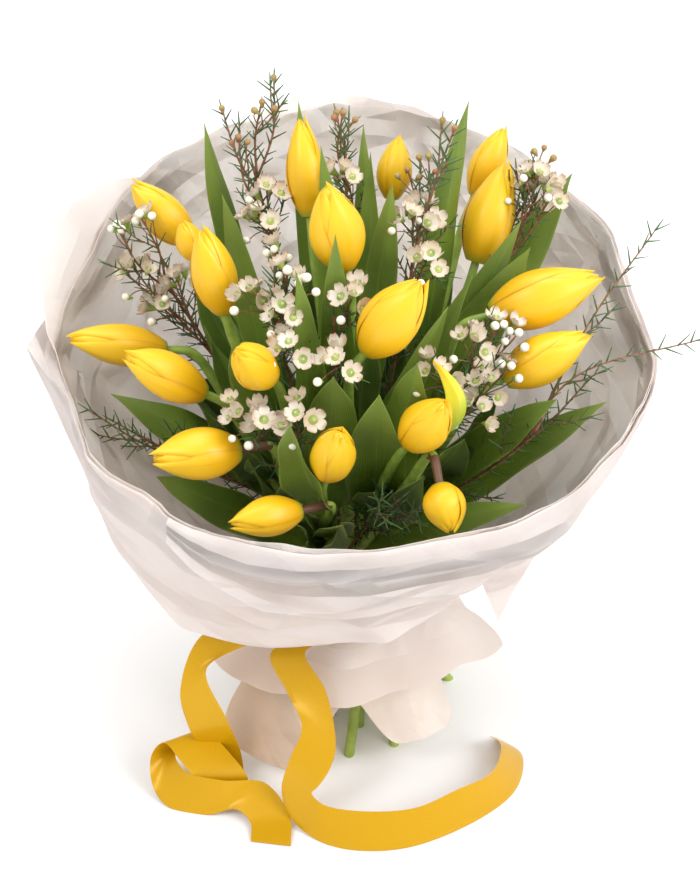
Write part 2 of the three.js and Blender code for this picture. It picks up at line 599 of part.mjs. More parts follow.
const blooms = TULIPS.map((tulip, i) => add(numbered("bloom", i), makeBloom(tulip), PETAL));
const leafyStems = TULIPS.map((tulip, i) => add(numbered("leafy_stem", i), makeLeafyStem(i), LEAF));
const papers = [
  add("wrap_inner", makeInnerTissue(), TISSUE),
  add("wrap_back", makeBackSheet(), TISSUE),
  add("wrap_outer", makeOuterSheet(), TISSUE),
  add("wrap_skirt", makeSkirt(), TISSUE),
];
let obstacles = wasm.Manifold.compose([...blooms, ...leafyStems, ...papers]);
SPRAYS.forEach((spray, i) => {
  const solid = add(numbered("spray", i), makeSpray(TULIPS.length + i, obstacles), WAXFLOWER);
  obstacles = wasm.Manifold.compose([obstacles, solid]);
});
add("stem_tie", makeStemTie(), TWINE);
add("ribbon_waist", makeRibbonRing(), RIBBON);
add("ribbon_tail_left", makeTail(LEFT_TAIL), RIBBON);
add("ribbon_tail_right", makeTail(RIGHT_TAIL), RIBBON);

export default bunch;
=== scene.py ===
import math
import random
from itertools import combinations

import bmesh
import bpy
from mathutils import Matrix, Vector, noise


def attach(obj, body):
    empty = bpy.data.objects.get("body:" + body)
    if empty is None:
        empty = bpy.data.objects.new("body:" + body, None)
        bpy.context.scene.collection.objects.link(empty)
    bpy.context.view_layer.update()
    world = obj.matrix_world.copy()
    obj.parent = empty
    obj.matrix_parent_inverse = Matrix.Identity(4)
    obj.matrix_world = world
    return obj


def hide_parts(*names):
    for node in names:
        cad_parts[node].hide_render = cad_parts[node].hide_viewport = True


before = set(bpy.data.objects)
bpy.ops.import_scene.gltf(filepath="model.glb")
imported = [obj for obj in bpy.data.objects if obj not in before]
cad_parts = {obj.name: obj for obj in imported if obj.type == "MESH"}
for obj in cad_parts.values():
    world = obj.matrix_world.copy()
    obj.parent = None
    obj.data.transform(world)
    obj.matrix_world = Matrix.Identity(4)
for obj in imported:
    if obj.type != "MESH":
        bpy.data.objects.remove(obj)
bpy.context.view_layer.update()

# Camera: it looks down on the bunch from the front, as the photograph does. The image is 700 x 874.
CAMERA_TARGET = Vector((0, 0, 0.215))
CAMERA_DISTANCE = 1.3
CAMERA_ELEVATION = math.radians(35)
CAMERA_LENS = 86.4

back_to_camera = Vector((0, -math.cos(CAMERA_ELEVATION), math.sin(CAMERA_ELEVATION)))
camera = bpy.data.objects.new("camera", bpy.data.cameras.new("camera"))
camera.location = CAMERA_TARGET + back_to_camera * CAMERA_DISTANCE
camera.rotation_euler = (math.pi / 2 - CAMERA_ELEVATION, 0, 0)
camera.data.lens = CAMERA_LENS
bpy.context.scene.collection.objects.link(camera)
bpy.context.scene.camera = camera

# Studio: a white floor that runs out of the picture, soft light from all round, and two large soft boxes.
bpy.context.scene.view_settings.view_transform = "Standard"


def new_finish(name, colour, roughness):
    """A material with its node tree and its Principled shader."""
    material = bpy.data.materials.new(name)
    material.use_nodes = True
    shader = material.node_tree.nodes["Principled BSDF"]
    shader.inputs["Base Color"].default_value = (*colour, 1)
    shader.inputs["Roughness"].default_value = roughness
    return material, material.node_tree, shader


def soft_box(name, place, size, watts):
    """An area light that faces the bunch."""
    light = bpy.data.objects.new(name, bpy.data.lights.new(name, "AREA"))
    light.data.shape = "DISK"
    light.data.size = size
    light.data.energy = watts
    light.location = place
    light.rotation_euler = (CAMERA_TARGET - Vector(place)).to_track_quat("-Z", "Y").to_euler()
    bpy.context.scene.collection.objects.link(light)


soft_box("key_light", (-1.1, -1.0, 1.9), 0.9, 13)
soft_box("fill_light", (1.4, -0.9, 1.3), 1.2, 20)
soft_box("top_light", (0.1, 0.3, 2.0), 1.4, 14)

world = bpy.data.worlds.new("studio")
world.use_nodes = True
world.node_tree.nodes["Background"].inputs["Color"].default_value = (1, 0.99, 0.98, 1)
world.node_tree.nodes["Background"].inputs["Strength"].default_value = 0.92
bpy.context.scene.world = world

floor_mesh = bmesh.new()
bmesh.ops.create_grid(floor_mesh, x_segments=1, y_segments=1, size=6)
floor = bpy.data.objects.new("floor", bpy.data.meshes.new("floor"))
floor_mesh.to_mesh(floor.data)
floor_mesh.free()
bpy.context.scene.collection.objects.link(floor)
floor.data.materials.append(new_finish("floor_white", (0.93, 0.93, 0.93), 0.9)[0])

# How the stems cross: each keeps its own place in one turning, widening plan about the tie, so straight
# stems never meet. Sizes are in millimetres here, and each finished mesh is brought to metres.
TIE_HEIGHT = 105
SPIRAL = 28
SPREAD = 140
STEM_RADIUS = 3.5
TWIG_RADIUS = 1.3
STEM_ROOM = 0.24
MIDDLE_STEM = 1
NECK = 18

# Each tulip: the start and the tip of its bloom, the bloom's widest radius and the turn of its petals.
TULIPS = [
    ((-24, 38, 350), (-30, 62, 405), 11.5, 20),
    ((-3, -30, 355), (-14, -36, 411), 15.5, 75),
    ((-73, -25, 322), (-85, -26, 379), 13, 10),
    ((-97, 45, 329), (-132, 50, 366), 12.5, 40),
    ((-90, 8, 338), (-98, 3, 366), 8.5, 0),
    ((-112, 5, 276), (-168, -15, 297), 12.5, 30),
    ((-85, -57, 286), (-128, -73, 324), 13, 0),
    ((-46, -75, 308), (-62, -109, 349), 12, 50),
    ((10, -73, 326), (40, -80, 377), 16, 15),
    ((25, 60, 350), (29, 70, 388), 10.5, 60),
    ((77, 78, 342), (94, 90, 384), 11, 35),
    ((76, 35, 320), (94, 62, 375), 15, 5),
    ((83, -15, 313), (148, -10, 338), 16.5, 25),
    ((90, -42, 286), (140, -36, 314), 14, 45),
    ((-63, -88, 268), (-113, -105, 273), 15, 20),
    ((-28, -118, 247), (-68, -138, 253), 11, 0),
    ((-13, -110, 267), (-5, -131, 311), 12.5, 70),
    ((34, -99, 281), (52, -122, 324), 13.5, 30),
    ((50, -122, 268), (56, -145, 252), 12, 10),
]

# Each spray: its crown, and the sprigs that end in a flower, a bud or bare needles at a point, by way of
# a bend if there is one.
SPRAYS = [
    ((-58, 58, 372), [
        ("needles", (-76, 72, 402)), ("bud", (-66, 54, 394)), ("bud", (-52, 64, 412)),
        ("needles", (-45, 76, 420)), ("flower", (-50, 46, 366)), ("flower", (-56, 30, 358))]),
    ((-118, 28, 322), [
        ("bud", (-138, 24, 352)), ("bud", (-124, 22, 360)), ("flower", (-104, 22, 318)),
        ("flower", (-118, 20, 304)), ("flower", (-131, 20, 327))]),
    ((-45, -46, 338), [
        ("flower", (-57, -46, 350)), ("flower", (-38, -64, 350)), ("bud", (-35, -50, 364)),
        ("bud", (-24, -58, 364)), ("bud", (-43, -30, 366)), ("flower", (-34, -84, 338))]),
    ((-9, -56, 338), [("flower", (2, -62, 356)), ("flower", (-8, -94, 334))]),
    ((-3, 58, 384), [("bud", (-4, 54, 410)), ("needles", (-8, 66, 402)), ("flower", (-4, 40, 380))]),
    ((42, 12, 362), [
        ("needles", (54, 50, 405)), ("needles", (60, 30, 410)), ("flower", (36, -2, 374)),
        ("flower", (46, 22, 368)), ("flower", (46, -28, 362)), ("bud", (34, 40, 380)),
        ("bud", (46, 38, 390))]),
    ((112, 48, 358), [
        ("flower", (112, 40, 378)), ("flower", (122, 40, 370)), ("flower", (110, 50, 364)),
        ("bud", (116, 60, 384))]),
    ((76, -62, 304), [
        ("bud", (88, -46, 326)), ("bud", (97, -44, 319)), ("bud", (92, -62, 308)),
        ("flower", (70, -60, 326)), ("flower", (50, -86, 322)), ("flower", (80, -72, 306)),
        ("flower", (74, -86, 296))]),
    ((112, -66, 268), [
        ("needles", (206, -20, 299), (130, -47, 290)), ("needles", (180, 16, 353), (140, -20, 310)),
        ("needles", (137, -52, 290))]),
    ((-126, -50, 252), [("needles", (-155, -39, 262)), ("needles", (-140, -50, 262))]),
    ((-40, -90, 288), [
        ("flower", (-62, -94, 298)), ("flower", (-48, -102, 298)), ("flower", (-30, -104, 304))]),
    ((28, -112, 250), [("needles", (40, -128, 256)), ("needles", (18, -128, 264))]),
]


def ease(x):
    """The smooth step from 0 to 1."""
    x = min(1, max(0, x))
    return x * x * (3 - 2 * x)


def from_plan(plan, height):
    """The place at a height of a stem that crosses the tie at a point of the plan."""
    place = plan * complex(1, (height - TIE_HEIGHT) / SPIRAL)
    return Vector((place.real, place.imag, height))


def to_plan(point):
    """Where in the plan a stem through a point would cross the tie."""
    return complex(point.x, point.y) / complex(1, (point.z - TIE_HEIGHT) / SPIRAL)


def pack_stems(wanted, radii):
    """Press the stems together at the tie, as near to their wanted places as their thickness lets them."""
    rounds = 400
    pull = 0.985
    places = list(wanted)
    for turn in range(rounds):
        if turn < rounds / 2:
            places = [place * pull for place in places]
        for i, j in combinations(range(len(places)), 2):
            apart = places[j] - places[i]
            middle = (places[i] + places[j]) / 2
            slant = (middle.conjugate() * apart).imag / math.hypot(abs(middle), SPIRAL)
            short = radii[i] + radii[j] + STEM_ROOM - math.sqrt(abs(apart) ** 2 - slant ** 2)
            if short > 0:
                push = apart / abs(apart) * short / 2
                places[i] -= push
                places[j] += push
        places[MIDDLE_STEM] = 0
    return places


necks = [Vector(start) - (Vector(tip) - Vector(start)).normalized() * NECK for start, tip, _, _ in TULIPS]
crowns = necks + [Vector(crown) for crown, _ in SPRAYS]
stem_radii = [STEM_RADIUS] * len(TULIPS) + [TWIG_RADIUS] * len(SPRAYS)
wanted_places = [to_plan(crown) for crown in crowns]
tie_places = pack_stems(wanted_places, stem_radii)
bunch_radius = max(abs(place) + radius for place, radius in zip(tie_places, stem_radii))


def stem_at(number, height):
    """The stem's centre at a height up to its neck or crown."""
    share = ease((height - TIE_HEIGHT) / SPREAD)
    return from_plan(tie_places[number] + (wanted_places[number] - tie_places[number]) * share, height)


# Tulip stems and leaves: round green stems cut level at the foot, each with its broad pointed leaves.
# A leaf is folded along its middle, waved at its edges and finely lined from base to tip. Under the ones
# that show stand more leaves, close to each stem, which fill the heart of the bunch; their darker greens
# are painted shade.
LEAF_THICKNESS = 0.7
LEAF_GREEN = (0.22, 0.33, 0.04)
LEAF_PALE_AND_EDGE_HIGHLIGHT = (0.36, 0.47, 0.12)
LEAF_DEEP = (0.1, 0.18, 0.02)
LEAF_SHADED = (0.035, 0.07, 0.01)
LEAF_GLOW = (0.42, 0.58, 0.04)
VEIN_SWEEP = 150.0  # in radians across the leaf, for its fine length lines
STEM_GREEN = (0.22, 0.35, 0.05)
STEM_PALE = (0.36, 0.49, 0.09)
CUT_GREEN = (0.5, 0.6, 0.25)
CUT_DEPTH = 0.0004  # in metres, as materials measure
NECK_PLUM = (0.13, 0.06, 0.03)
PLUM_NECKS = (15, 16, 19)

LEAF_BLADE, BARE_STEM, STEM_NECK, SHADED_LEAF = range(4)

# Each of the two filling leaves: where it leaves the stem, how many degrees aside it leans, and how far
# under the neck its tip stays.
FILLING_LEAVES = ((185, 35, 6), (200, -40, 26))

# Each leaf: its tulip, where it leaves the stem, its tip, its width, the bearing that its back faces,
# how far it bows that way, and how far its halves fold up in degrees.
LEAVES = [
    (4, 225, (-87, 66, 398), 19, 120, 14, 35),
    (3, 210, (-74, 10, 380), 19, 100, 7, 30),
    (1, 240, (-17, 28, 402), 20, 290, 12, 30),
    (1, 215, (-31, 84, 403), 20, 95, 14, 30),
    (10, 230, (8, 66, 397), 17, 110, 0, 35),
    (10, 215, (12, 36, 394), 17, 250, 2, 30),
    (2, 215, (24, -8, 397), 23, 60, 8, 20),
    (2, 205, (-8, -58, 392), 22, 260, 10, 25),
    (8, 205, (-30, -70, 376), 22, 300, 12, 25),
    (12, 215, (69, 42, 424), 22, 110, 12, 30),
    (11, 200, (134, 62, 366), 34, 60, 10, 20),
    (13, 200, (101, 20, 357), 24, 90, 8, 15),
    (13, 195, (106, 9, 345), 34, 85, 5, 10),
    (13, 175, (70, -34, 352), 20, 230, 10, 30),
    (9, 200, (55, -62, 348), 19, 280, 6, 25),
    (18, 215, (37, -104, 337), 28, 60, 6, 20),
    (17, 200, (-9, -94, 322), 34, 90, 8, 20),
    (16, 232, (-33, -116, 305), 28, 240, 6, 40),
    (18, 190, (16, -112, 322), 36, 270, 6, 20),
    (8, 215, (-66, -72, 332), 36, 150, 6, 15),
    (6, 165, (-142, -28, 266), 32, 170, -10, 15),
    (15, 150, (-112, -84, 246), 26, 180, 6, 15),
    (16, 150, (-4, -138, 252), 24, 270, -8, 20),
    (14, 160, (150, -48, 274), 28, 20, -10, 15),
    (14, 185, (118, -72, 292), 26, 200, -8, 20),
    (19, 160, (100, -108, 244), 22, 350, -16, 20),
]


def curve_through(points, steps):
    """Places along a smooth curve through the points, steps to each stretch between two of them."""
    ends = [2 * points[0] - points[1], *points, 2 * points[-1] - points[-2]]
    line = []
    for before, start, end, after in zip(ends, ends[1:], ends[2:], ends[3:]):
        gaps = [max(1e-4, (b - a).length ** 0.5) for a, b in ((before, start), (start, end), (end, after))]
        first, middle, last = gaps
        leave = (start - before) / first - (end - before) / (first + middle) + (end - start) / middle
        reach = (end - start) / middle - (after - start) / (middle + last) + (after - end) / last
        for i in range(steps):
            t = i / steps
            line.append(start * (1 - 3 * t**2 + 2 * t**3) + end * (3 * t**2 - 2 * t**3)
                        + leave * middle * (t - 2 * t**2 + t**3) + reach * middle * (t**3 - t**2))
    return line + [points[-1].copy()]


def new_mesh():
    mesh = bmesh.new()
    mesh.loops.layers.uv.new("UVMap")
    return mesh


def faces_of(points):
    """The faces round some points, each once and in order."""
    return list(dict.fromkeys(face for point in points for face in point.link_faces))


def skin(mesh, place, across, along, ring=False, finish=0):
    """A grid of faces over the surface place(u, v), with u and v as its UV map."""
    grid = bmesh.ops.create_grid(mesh, x_segments=across, y_segments=along, size=0.5, calc_uvs=True)
    points = grid["verts"]
    faces = faces_of(points)
    for face in faces:
        face.material_index = finish
    for point in points:
        u, v = (min(1, max(0, share + 0.5)) for share in point.co.xy)
        point.co = place(u, v)
    if ring:
        bmesh.ops.remove_doubles(mesh, verts=points, dist=0.0005)
    return [face for face in faces if face.is_valid]


def rod(mesh, line, radius, sides, finish=0):
    """A round rod along a line, closed at both ends. Its radius may vary with the share of the way."""
    width = radius if callable(radius) else lambda share: radius
    rings = []
    side = (line[1] - line[0]).orthogonal().normalized()
    for i, place in enumerate(line):
        along = (line[min(i + 1, len(line) - 1)] - line[max(i - 1, 0)]).normalized()
        side = (side - along * side.dot(along)).normalized()
        turn = Matrix((side, along.cross(side), along)).transposed().to_4x4()
        ring = bmesh.ops.create_circle(mesh, segments=sides, radius=width(i / (len(line) - 1)),
                                       matrix=Matrix.Translation(place) @ turn)["verts"]
        rings.append(list(dict.fromkeys(edge for point in ring for edge in point.link_edges)))
    made = []
    for lower, upper in zip(rings, rings[1:]):
        made += bmesh.ops.bridge_loops(mesh, edges=lower + upper)["faces"]
    for ring in (rings[0], rings[-1]):
        made += bmesh.ops.contextual_create(mesh, geom=ring)["faces"]
    bmesh.ops.recalc_face_normals(mesh, faces=made)
    for face in made:
        face.material_index = finish


def put_in_place(name, mesh, finishes, slot, *nodes):
    """Make the millimetre mesh a piece in metres that stands for its CAD nodes."""
    bmesh.ops.scale(mesh, vec=(0.001, 0.001, 0.001), verts=mesh.verts)
    data = bpy.data.meshes.new(name)
    mesh.to_mesh(data)
    mesh.free()
    data.shade_smooth()
    data.set_sharp_from_angle(angle=math.radians(55))
    for finish in finishes:
        data.materials.append(finish)
    piece = bpy.data.objects.new(name, data)
    bpy.context.scene.collection.objects.link(piece)
    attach(piece, "root")
    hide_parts(*nodes)
    return piece


def bearing(degrees):
    return Vector((math.cos(math.radians(degrees)), math.sin(math.radians(degrees)), 0))


def add_leaf(mesh, tulip, height, tip, width, back, bow, fold, finish=LEAF_BLADE):
    root = stem_at(tulip - 1, height)
    tip = Vector(tip)
    away = bearing(back)
    bend = (root + tip) / 2 + away * bow
    rise = math.sin(math.radians(fold))
    ripples = 2.5
    twist = 0.3 * math.sin(width + back)

    def place(u, v):
        side = 2 * u - 1
        spine = root * (1 - v) ** 2 + bend * 2 * v * (1 - v) + tip * v ** 2
        along = ((bend - root) * (1 - v) + (tip - bend) * v).normalized()
        acrossway = along.cross(away).normalized()
        acrossway.rotate(Matrix.Rotation(twist * v * v, 3, along))
        inwards = along.cross(acrossway).normalized()
        half = width / 2 * (0.12 + 0.88 * math.sin(math.pi * v ** 0.8) ** 0.7) * (1 - v ** 12)
        lift = rise * half * (math.sqrt(side * side + 0.02) - 0.14)
        phase = back + (1.4 if side > 0 else 0)
        wave = 0.13 * half * side ** 2 * math.sin(ripples * 2 * math.pi * v + phase)
        return spine + acrossway * side * half - inwards * (lift + wave)

    faces = skin(mesh, place, 10, 30, finish=finish)
    bmesh.ops.solidify(mesh, geom=faces, thickness=LEAF_THICKNESS)


def node(tree, kind, sockets=(), **settings):
    """Add a shader node. sockets gives each input's value, or the output that feeds it."""
    made = tree.nodes.new("ShaderNode" + kind)
    for name, value in settings.items():
        setattr(made, name, value)
    for name, value in dict(sockets).items():
        if isinstance(value, bpy.types.NodeSocket):
            tree.links.new(value, made.inputs[name])
        else:
            made.inputs[name].default_value = value
    return made


def mixed(tree, share, first, second):
    """The colour that lies between two others, each a socket or red, green and blue."""
    ends = [end if isinstance(end, bpy.types.NodeSocket) else (*end, 1) for end in (first, second)]
    blend = node(tree, "Mix", {"Factor": share, "A": ends[0], "B": ends[1]}, data_type="RGBA")
    return blend.outputs["Result"]


def rising(tree, value, start, end, most, least=0.0):
    """A share that goes from least, where the value is at start, to most, where it is at end."""
    steps = {"Value": value, "From Min": start, "From Max": end, "To Min": least, "To Max": most}
    return node(tree, "MapRange", steps).outputs["Result"]


def reckoned(tree, operation, first, second=0.0):
    """The outcome of a sum on a socket and, where it needs one, another socket or number."""
    return node(tree, "Math", {0: first, 1: second}, operation=operation).outputs[0]


def mottled(tree, scale, first, second):
    """Two colours in soft patches, scale to a metre."""
    place = node(tree, "TexCoord").outputs["Object"]
    patches = node(tree, "TexNoise", {"Vector": place, "Scale": scale, "Detail": 3.0})
    return mixed(tree, rising(tree, patches.outputs["Fac"], 0.34, 0.66, 1.0), first, second)


def glowing(tree, shader, colour, share):
    """Let a share of the light through, as thin leaves and paper do."""
    through = node(tree, "BsdfTranslucent", {"Color": colour})
    blend = node(tree, "MixShader", {"Fac": share, 1: shader.outputs["BSDF"], 2: through.outputs["BSDF"]})
    tree.links.new(blend.outputs["Shader"], tree.nodes["Material Output"].inputs["Surface"])
    for relief in shader.inputs["Normal"].links:
        tree.links.new(relief.from_socket, through.inputs["Normal"])


def surface_shares(tree):
    """The shares of the way across and along the piece, from its UV map."""
    uv = node(tree, "SeparateXYZ", {"Vector": node(tree, "UVMap").outputs["UV"]})
    return uv.outputs["X"], uv.outputs["Y"]


def distance_from(tree, share, line=0.5):
    """How far a share is from a line of the surface, such as its middle."""
    return reckoned(tree, "ABSOLUTE", reckoned(tree, "SUBTRACT", share, line))


def leaf_finish(name, deep, green, paler_at_tip, glow):
    """Green in soft patches, with fine paler length lines, and paler to the tip and the fold. Along the
    edges the paler green is a painted highlight.
    """
    material, tree, shader = new_finish(name, green, 0.4)
    across, along = surface_shares(tree)
    veins = reckoned(tree, "SINE", reckoned(tree, "MULTIPLY", across, VEIN_SWEEP))
    from_fold = distance_from(tree, across)
    tones = mottled(tree, 22.0, deep, green)
    # The third share is a painted highlight along the leaf's edges.
    for share in (rising(tree, veins, 0.2, 1.0, 0.22), rising(tree, along, 0.55, 1.0, paler_at_tip),
                  rising(tree, from_fold, 0.46, 0.5, 0.5), rising(tree, from_fold, 0.03, 0.0, 0.4)):
        tones = mixed(tree, share, tones, LEAF_PALE_AND_EDGE_HIGHLIGHT)
    tree.links.new(tones, shader.inputs["Base Color"])
    ribs = node(tree, "Bump", {"Height": veins, "Strength": 0.2, "Distance": 0.0003})
    tree.links.new(ribs.outputs["Normal"], shader.inputs["Normal"])
    glowing(tree, shader, (*LEAF_GLOW, 1), glow)
    return material


leaf_green = leaf_finish("leaf_green", LEAF_DEEP, LEAF_GREEN, 0.55, 0.28)
# Painted shade: leaf_shaded is a darker copy of the leaf finish for the filling leaves deep in the bunch.
leaf_shaded = leaf_finish("leaf_shaded", LEAF_SHADED, LEAF_DEEP, 0.1, 0.12)

stem_green, tree, shader = new_finish("stem_green", STEM_GREEN, 0.42)
height = node(tree, "SeparateXYZ", {"Vector": node(tree, "TexCoord").outputs["Object"]}).outputs["Z"]
cut = reckoned(tree, "LESS_THAN", height, CUT_DEPTH)
stem_cut = mixed(tree, cut, mottled(tree, 120.0, STEM_GREEN, STEM_PALE), CUT_GREEN)
tree.links.new(stem_cut, shader.inputs["Base Color"])

neck_plum = new_finish("neck_plum", NECK_PLUM, 0.45)[0]


def stem_line(number, top=None):
    """The stem's way from just under the surface that it stands on to its crown, and on to top."""
    below = -8
    levels = 9
    rise = crowns[number].z - below
    line = [stem_at(number, below + rise * i / levels) for i in range(levels)] + [crowns[number]]
    return curve_through(line + ([top] if top else []), 6)


def cut_level(mesh):
    """Cut the foot off level with the surface that it stands on, and close the cut."""
    everything = mesh.verts[:] + mesh.edges[:] + mesh.faces[:]
    cut = bmesh.ops.bisect_plane(mesh, geom=everything, dist=0.0001, plane_co=(0, 0, 0),
                                 plane_no=(0, 0, -1), clear_outer=True)
    edges = [item for item in cut["geom_cut"] if isinstance(item, bmesh.types.BMEdge)]
    bmesh.ops.contextual_create(mesh, geom=edges)


def filling_leaves(number):
    """Two more leaves of a tulip, which rise beside its stem and lean out from the middle of the bunch."""
    neck = necks[number]
    outward = math.degrees(math.atan2(neck.y, neck.x))
    leaves = []
    for count, (low, aside, drop) in enumerate(FILLING_LEAVES):
        way = outward + aside * (1 if number % 2 else -1)
        tip = stem_at(number, neck.z - drop) + bearing(way) * 15
        width = 22 + (number + 3 * count) % 6
        leaves.append((number + 1, low, tip, width, way, 8, 24, SHADED_LEAF))
    return leaves


def stem_width(share):
    """A tulip stem's radius, which narrows over the last quarter of its way."""
    return STEM_RADIUS * (0.97 - 0.25 * ease(4 * share - 3))


for number, (start, tip, _, _) in enumerate(TULIPS):
    mesh = new_mesh()
    rod(mesh, stem_line(number, Vector(start)), stem_width, 12, finish=BARE_STEM)
    cut_level(mesh)
    if number + 1 in PLUM_NECKS:
        for face in mesh.faces:
            if (face.calc_center_median() - Vector(start)).length < NECK:
                face.material_index = STEM_NECK
    for leaf in [leaf for leaf in LEAVES if leaf[0] == number + 1] + filling_leaves(number):
        add_leaf(mesh, *leaf)
    put_in_place(f"tulip_stem_{number + 1:02d}", mesh, [leaf_green, stem_green, neck_plum, leaf_shaded],
                 "leaf", f"leafy_stem_{number + 1:02d}")

# Tulip blooms: six thick, satiny petals each, three outer ones that lap over three inner ones and close at
# the tip. They are clear yellow, with painted shade deeper along their edges, where they lap, and a little
# green where they leave the stem.
PETAL_THICKNESS = 0.6
PETAL_YELLOW = (0.82, 0.45, 0.005)
PETAL_LIGHT = (0.86, 0.54, 0.014)
PETAL_STREAK_AND_EDGE_SHADE = (0.66, 0.27, 0.002)
PETAL_GREEN = (0.4, 0.42, 0.03)
PETAL_STREAKS = (34.0, 1.6, 1.0)  # how often they turn across the petal and along it
BLOOM_GAP = 0.3
OUTER_REACH = (1.0, 0.93, 0.97)  # how far up each outer petal comes, as a share of the bloom's length
INNER_REACH = 0.95
HEART_REACH = 0.94
HEART_SHARE = 0.86  # of the bloom's radius
HALF_ANGLE = 66  # half of what a petal spans round the bloom, in degrees
WHOLE_YELLOW, HALF_GREEN = range(2)


def bloom_stand(start, tip):
    """The foot of a bloom, the turn that stands it along its axis, and its length."""
    axis = Vector(tip) - Vector(start)
    upright = Vector((0, 0, 1)).rotation_difference(axis)
    return Vector(start) + axis.normalized() * BLOOM_GAP, upright, axis.length


def add_petal(mesh, start, tip, radius, turn, petal, inner):
    base, upright, length = bloom_stand(start, tip)
    layer = 0.95 if inner else 1.0
    reach = INNER_REACH if inner else OUTER_REACH[petal]
    close = 0.75 if inner else 0.15 - 0.35 * math.sin(turn + petal)
    middle = 120 * petal + (60 if inner else 0)

    def place(u, v):
        side = 2 * u - 1
        blunt = (1 - (max(0, v - 0.8) / 0.2) ** 2.6) ** 0.5 if v < 1 else 0
        half = (HALF_ANGLE - (14 if inner else 24) * ease((v - 0.4) / 0.6)) * (0.1 + 0.9 * blunt)
        angle = math.radians(turn + middle + side * half)
        outline = math.sin(math.pi * (0.1 + 0.82 * v) ** 0.85) * (1 - close * (1 - blunt))
        ridges = 0.018 * math.cos(2.5 * math.pi * side) * math.sin(math.pi * v)
        lap = 0.034 * side * ease(4 * v) * (1 - 0.5 * v)
        r = radius * outline * layer * (1 + ridges + lap)
        height = length * reach * v * (1 - 0.1 * side ** 2 * v ** 4)
        return base + upright @ Vector((r * math.cos(angle), r * math.sin(angle), height))

    faces = skin(mesh, place, 14, 22, finish=WHOLE_YELLOW)
    bmesh.ops.solidify(mesh, geom=faces, thickness=PETAL_THICKNESS)


def add_heart(mesh, start, tip, radius, turn):
    """The folded inner petals that fill the middle of a closed bloom."""
    base, upright, length = bloom_stand(start, tip)

    def place(u, v):
        angle = math.radians(turn) + 2 * math.pi * u
        outline = math.sin(math.pi * (0.1 + 0.82 * v) ** 0.85) * max(0, 1 - (2 * v - 1) ** 8) ** 0.5
        r = radius * HEART_SHARE * outline * (1 - 0.03 * math.cos(6 * math.pi * u))
        return base + upright @ Vector((r * math.cos(angle), r * math.sin(angle), length * HEART_REACH * v))

    skin(mesh, place, 15, 14, ring=True, finish=WHOLE_YELLOW)


def add_open_petal(mesh, base, belly, tip, width):
    """One petal that stands away from its bloom, still half green."""
    base, belly, tip = Vector(base), Vector(belly), Vector(tip)
    bend = 2 * belly - (base + tip) / 2

    def place(u, v):
        side = 2 * u - 1
        spine = base * (1 - v) ** 2 + bend * 2 * v * (1 - v) + tip * v ** 2
        along = ((bend - base) * (1 - v) + (tip - bend) * v).normalized()
        acrossway = along.cross(Vector((0.5, -1, 0.2))).normalized()
        half = width / 2 * math.sin(math.pi * (0.2 + 0.79 * v) ** 0.85) ** 0.9
        return spine + acrossway * side * half + along.cross(acrossway) * half * 0.7 * abs(side)

    faces = skin(mesh, place, 10, 16, finish=HALF_GREEN)
    bmesh.ops.solidify(mesh, geom=faces, thickness=PETAL_THICKNESS)


def petal_finish(name, foot, light, deep, flush_end):
    """Petal yellow with another colour at the foot and deeper in faint length streaks. Along both edges,
    where petals lap, painted shade makes it deeper too.
    """
    material, tree, shader = new_finish(name, PETAL_YELLOW, 0.38)
    across, along = surface_shares(tree)
    flush = node(tree, "ValToRGB", {"Fac": along})
    flush.color_ramp.elements[0].color = (*foot, 1)
    flush.color_ramp.elements[1].position = flush_end
    flush.color_ramp.elements[1].color = (*PETAL_YELLOW, 1)
    flush.color_ramp.elements.new(0.8).color = (*light, 1)
    drawn_out = node(tree, "Mapping", {"Vector": node(tree, "UVMap").outputs["UV"], "Scale": PETAL_STREAKS})
    streaks = node(tree, "TexNoise", {"Vector": drawn_out.outputs["Vector"], "Scale": 1.0, "Detail": 3.0})
    tones = mixed(tree, rising(tree, streaks.outputs["Fac"], 0.5, 0.8, 0.3), flush.outputs["Color"], deep)
    # Painted shade: the petal turns to the deeper colour along both edges, where the petals lap.
    tones = mixed(tree, rising(tree, distance_from(tree, across), 0.44, 0.5, 0.45), tones, deep)
    tree.links.new(tones, shader.inputs["Base Color"])
    ribs = node(tree, "Bump", {"Height": streaks.outputs["Fac"], "Strength": 0.15, "Distance": 0.0004})
    tree.links.new(ribs.outputs["Normal"], shader.inputs["Normal"])
    return material


petal_yellow = petal_finish("petal_yellow", PETAL_GREEN, PETAL_LIGHT, PETAL_STREAK_AND_EDGE_SHADE, 0.1)
petal_half_green = petal_finish(
    "petal_half_green", (0.25, 0.42, 0.04), (0.75, 0.68, 0.04), (0.3, 0.45, 0.03), 0.95)
OPEN_PETAL_BLOOM = 18
OPEN_PETAL = ((50, -102, 290), (61, -100, 306), (46, -92, 331))  # its base, belly and tip
OPEN_PETAL_WIDTH = 15

for number, bloom in enumerate(TULIPS):
    mesh = new_mesh()
    add_heart(mesh, *bloom)
    for petal in range(3):
        add_petal(mesh, *bloom, petal, inner=True)
        add_petal(mesh, *bloom, petal, inner=False)
    if number + 1 == OPEN_PETAL_BLOOM:
        add_open_petal(mesh, *OPEN_PETAL, OPEN_PETAL_WIDTH)
    put_in_place(f"tulip_bloom_{number + 1:02d}", mesh, [petal_yellow, petal_half_green], "petal",
                 f"bloom_{number + 1:02d}")

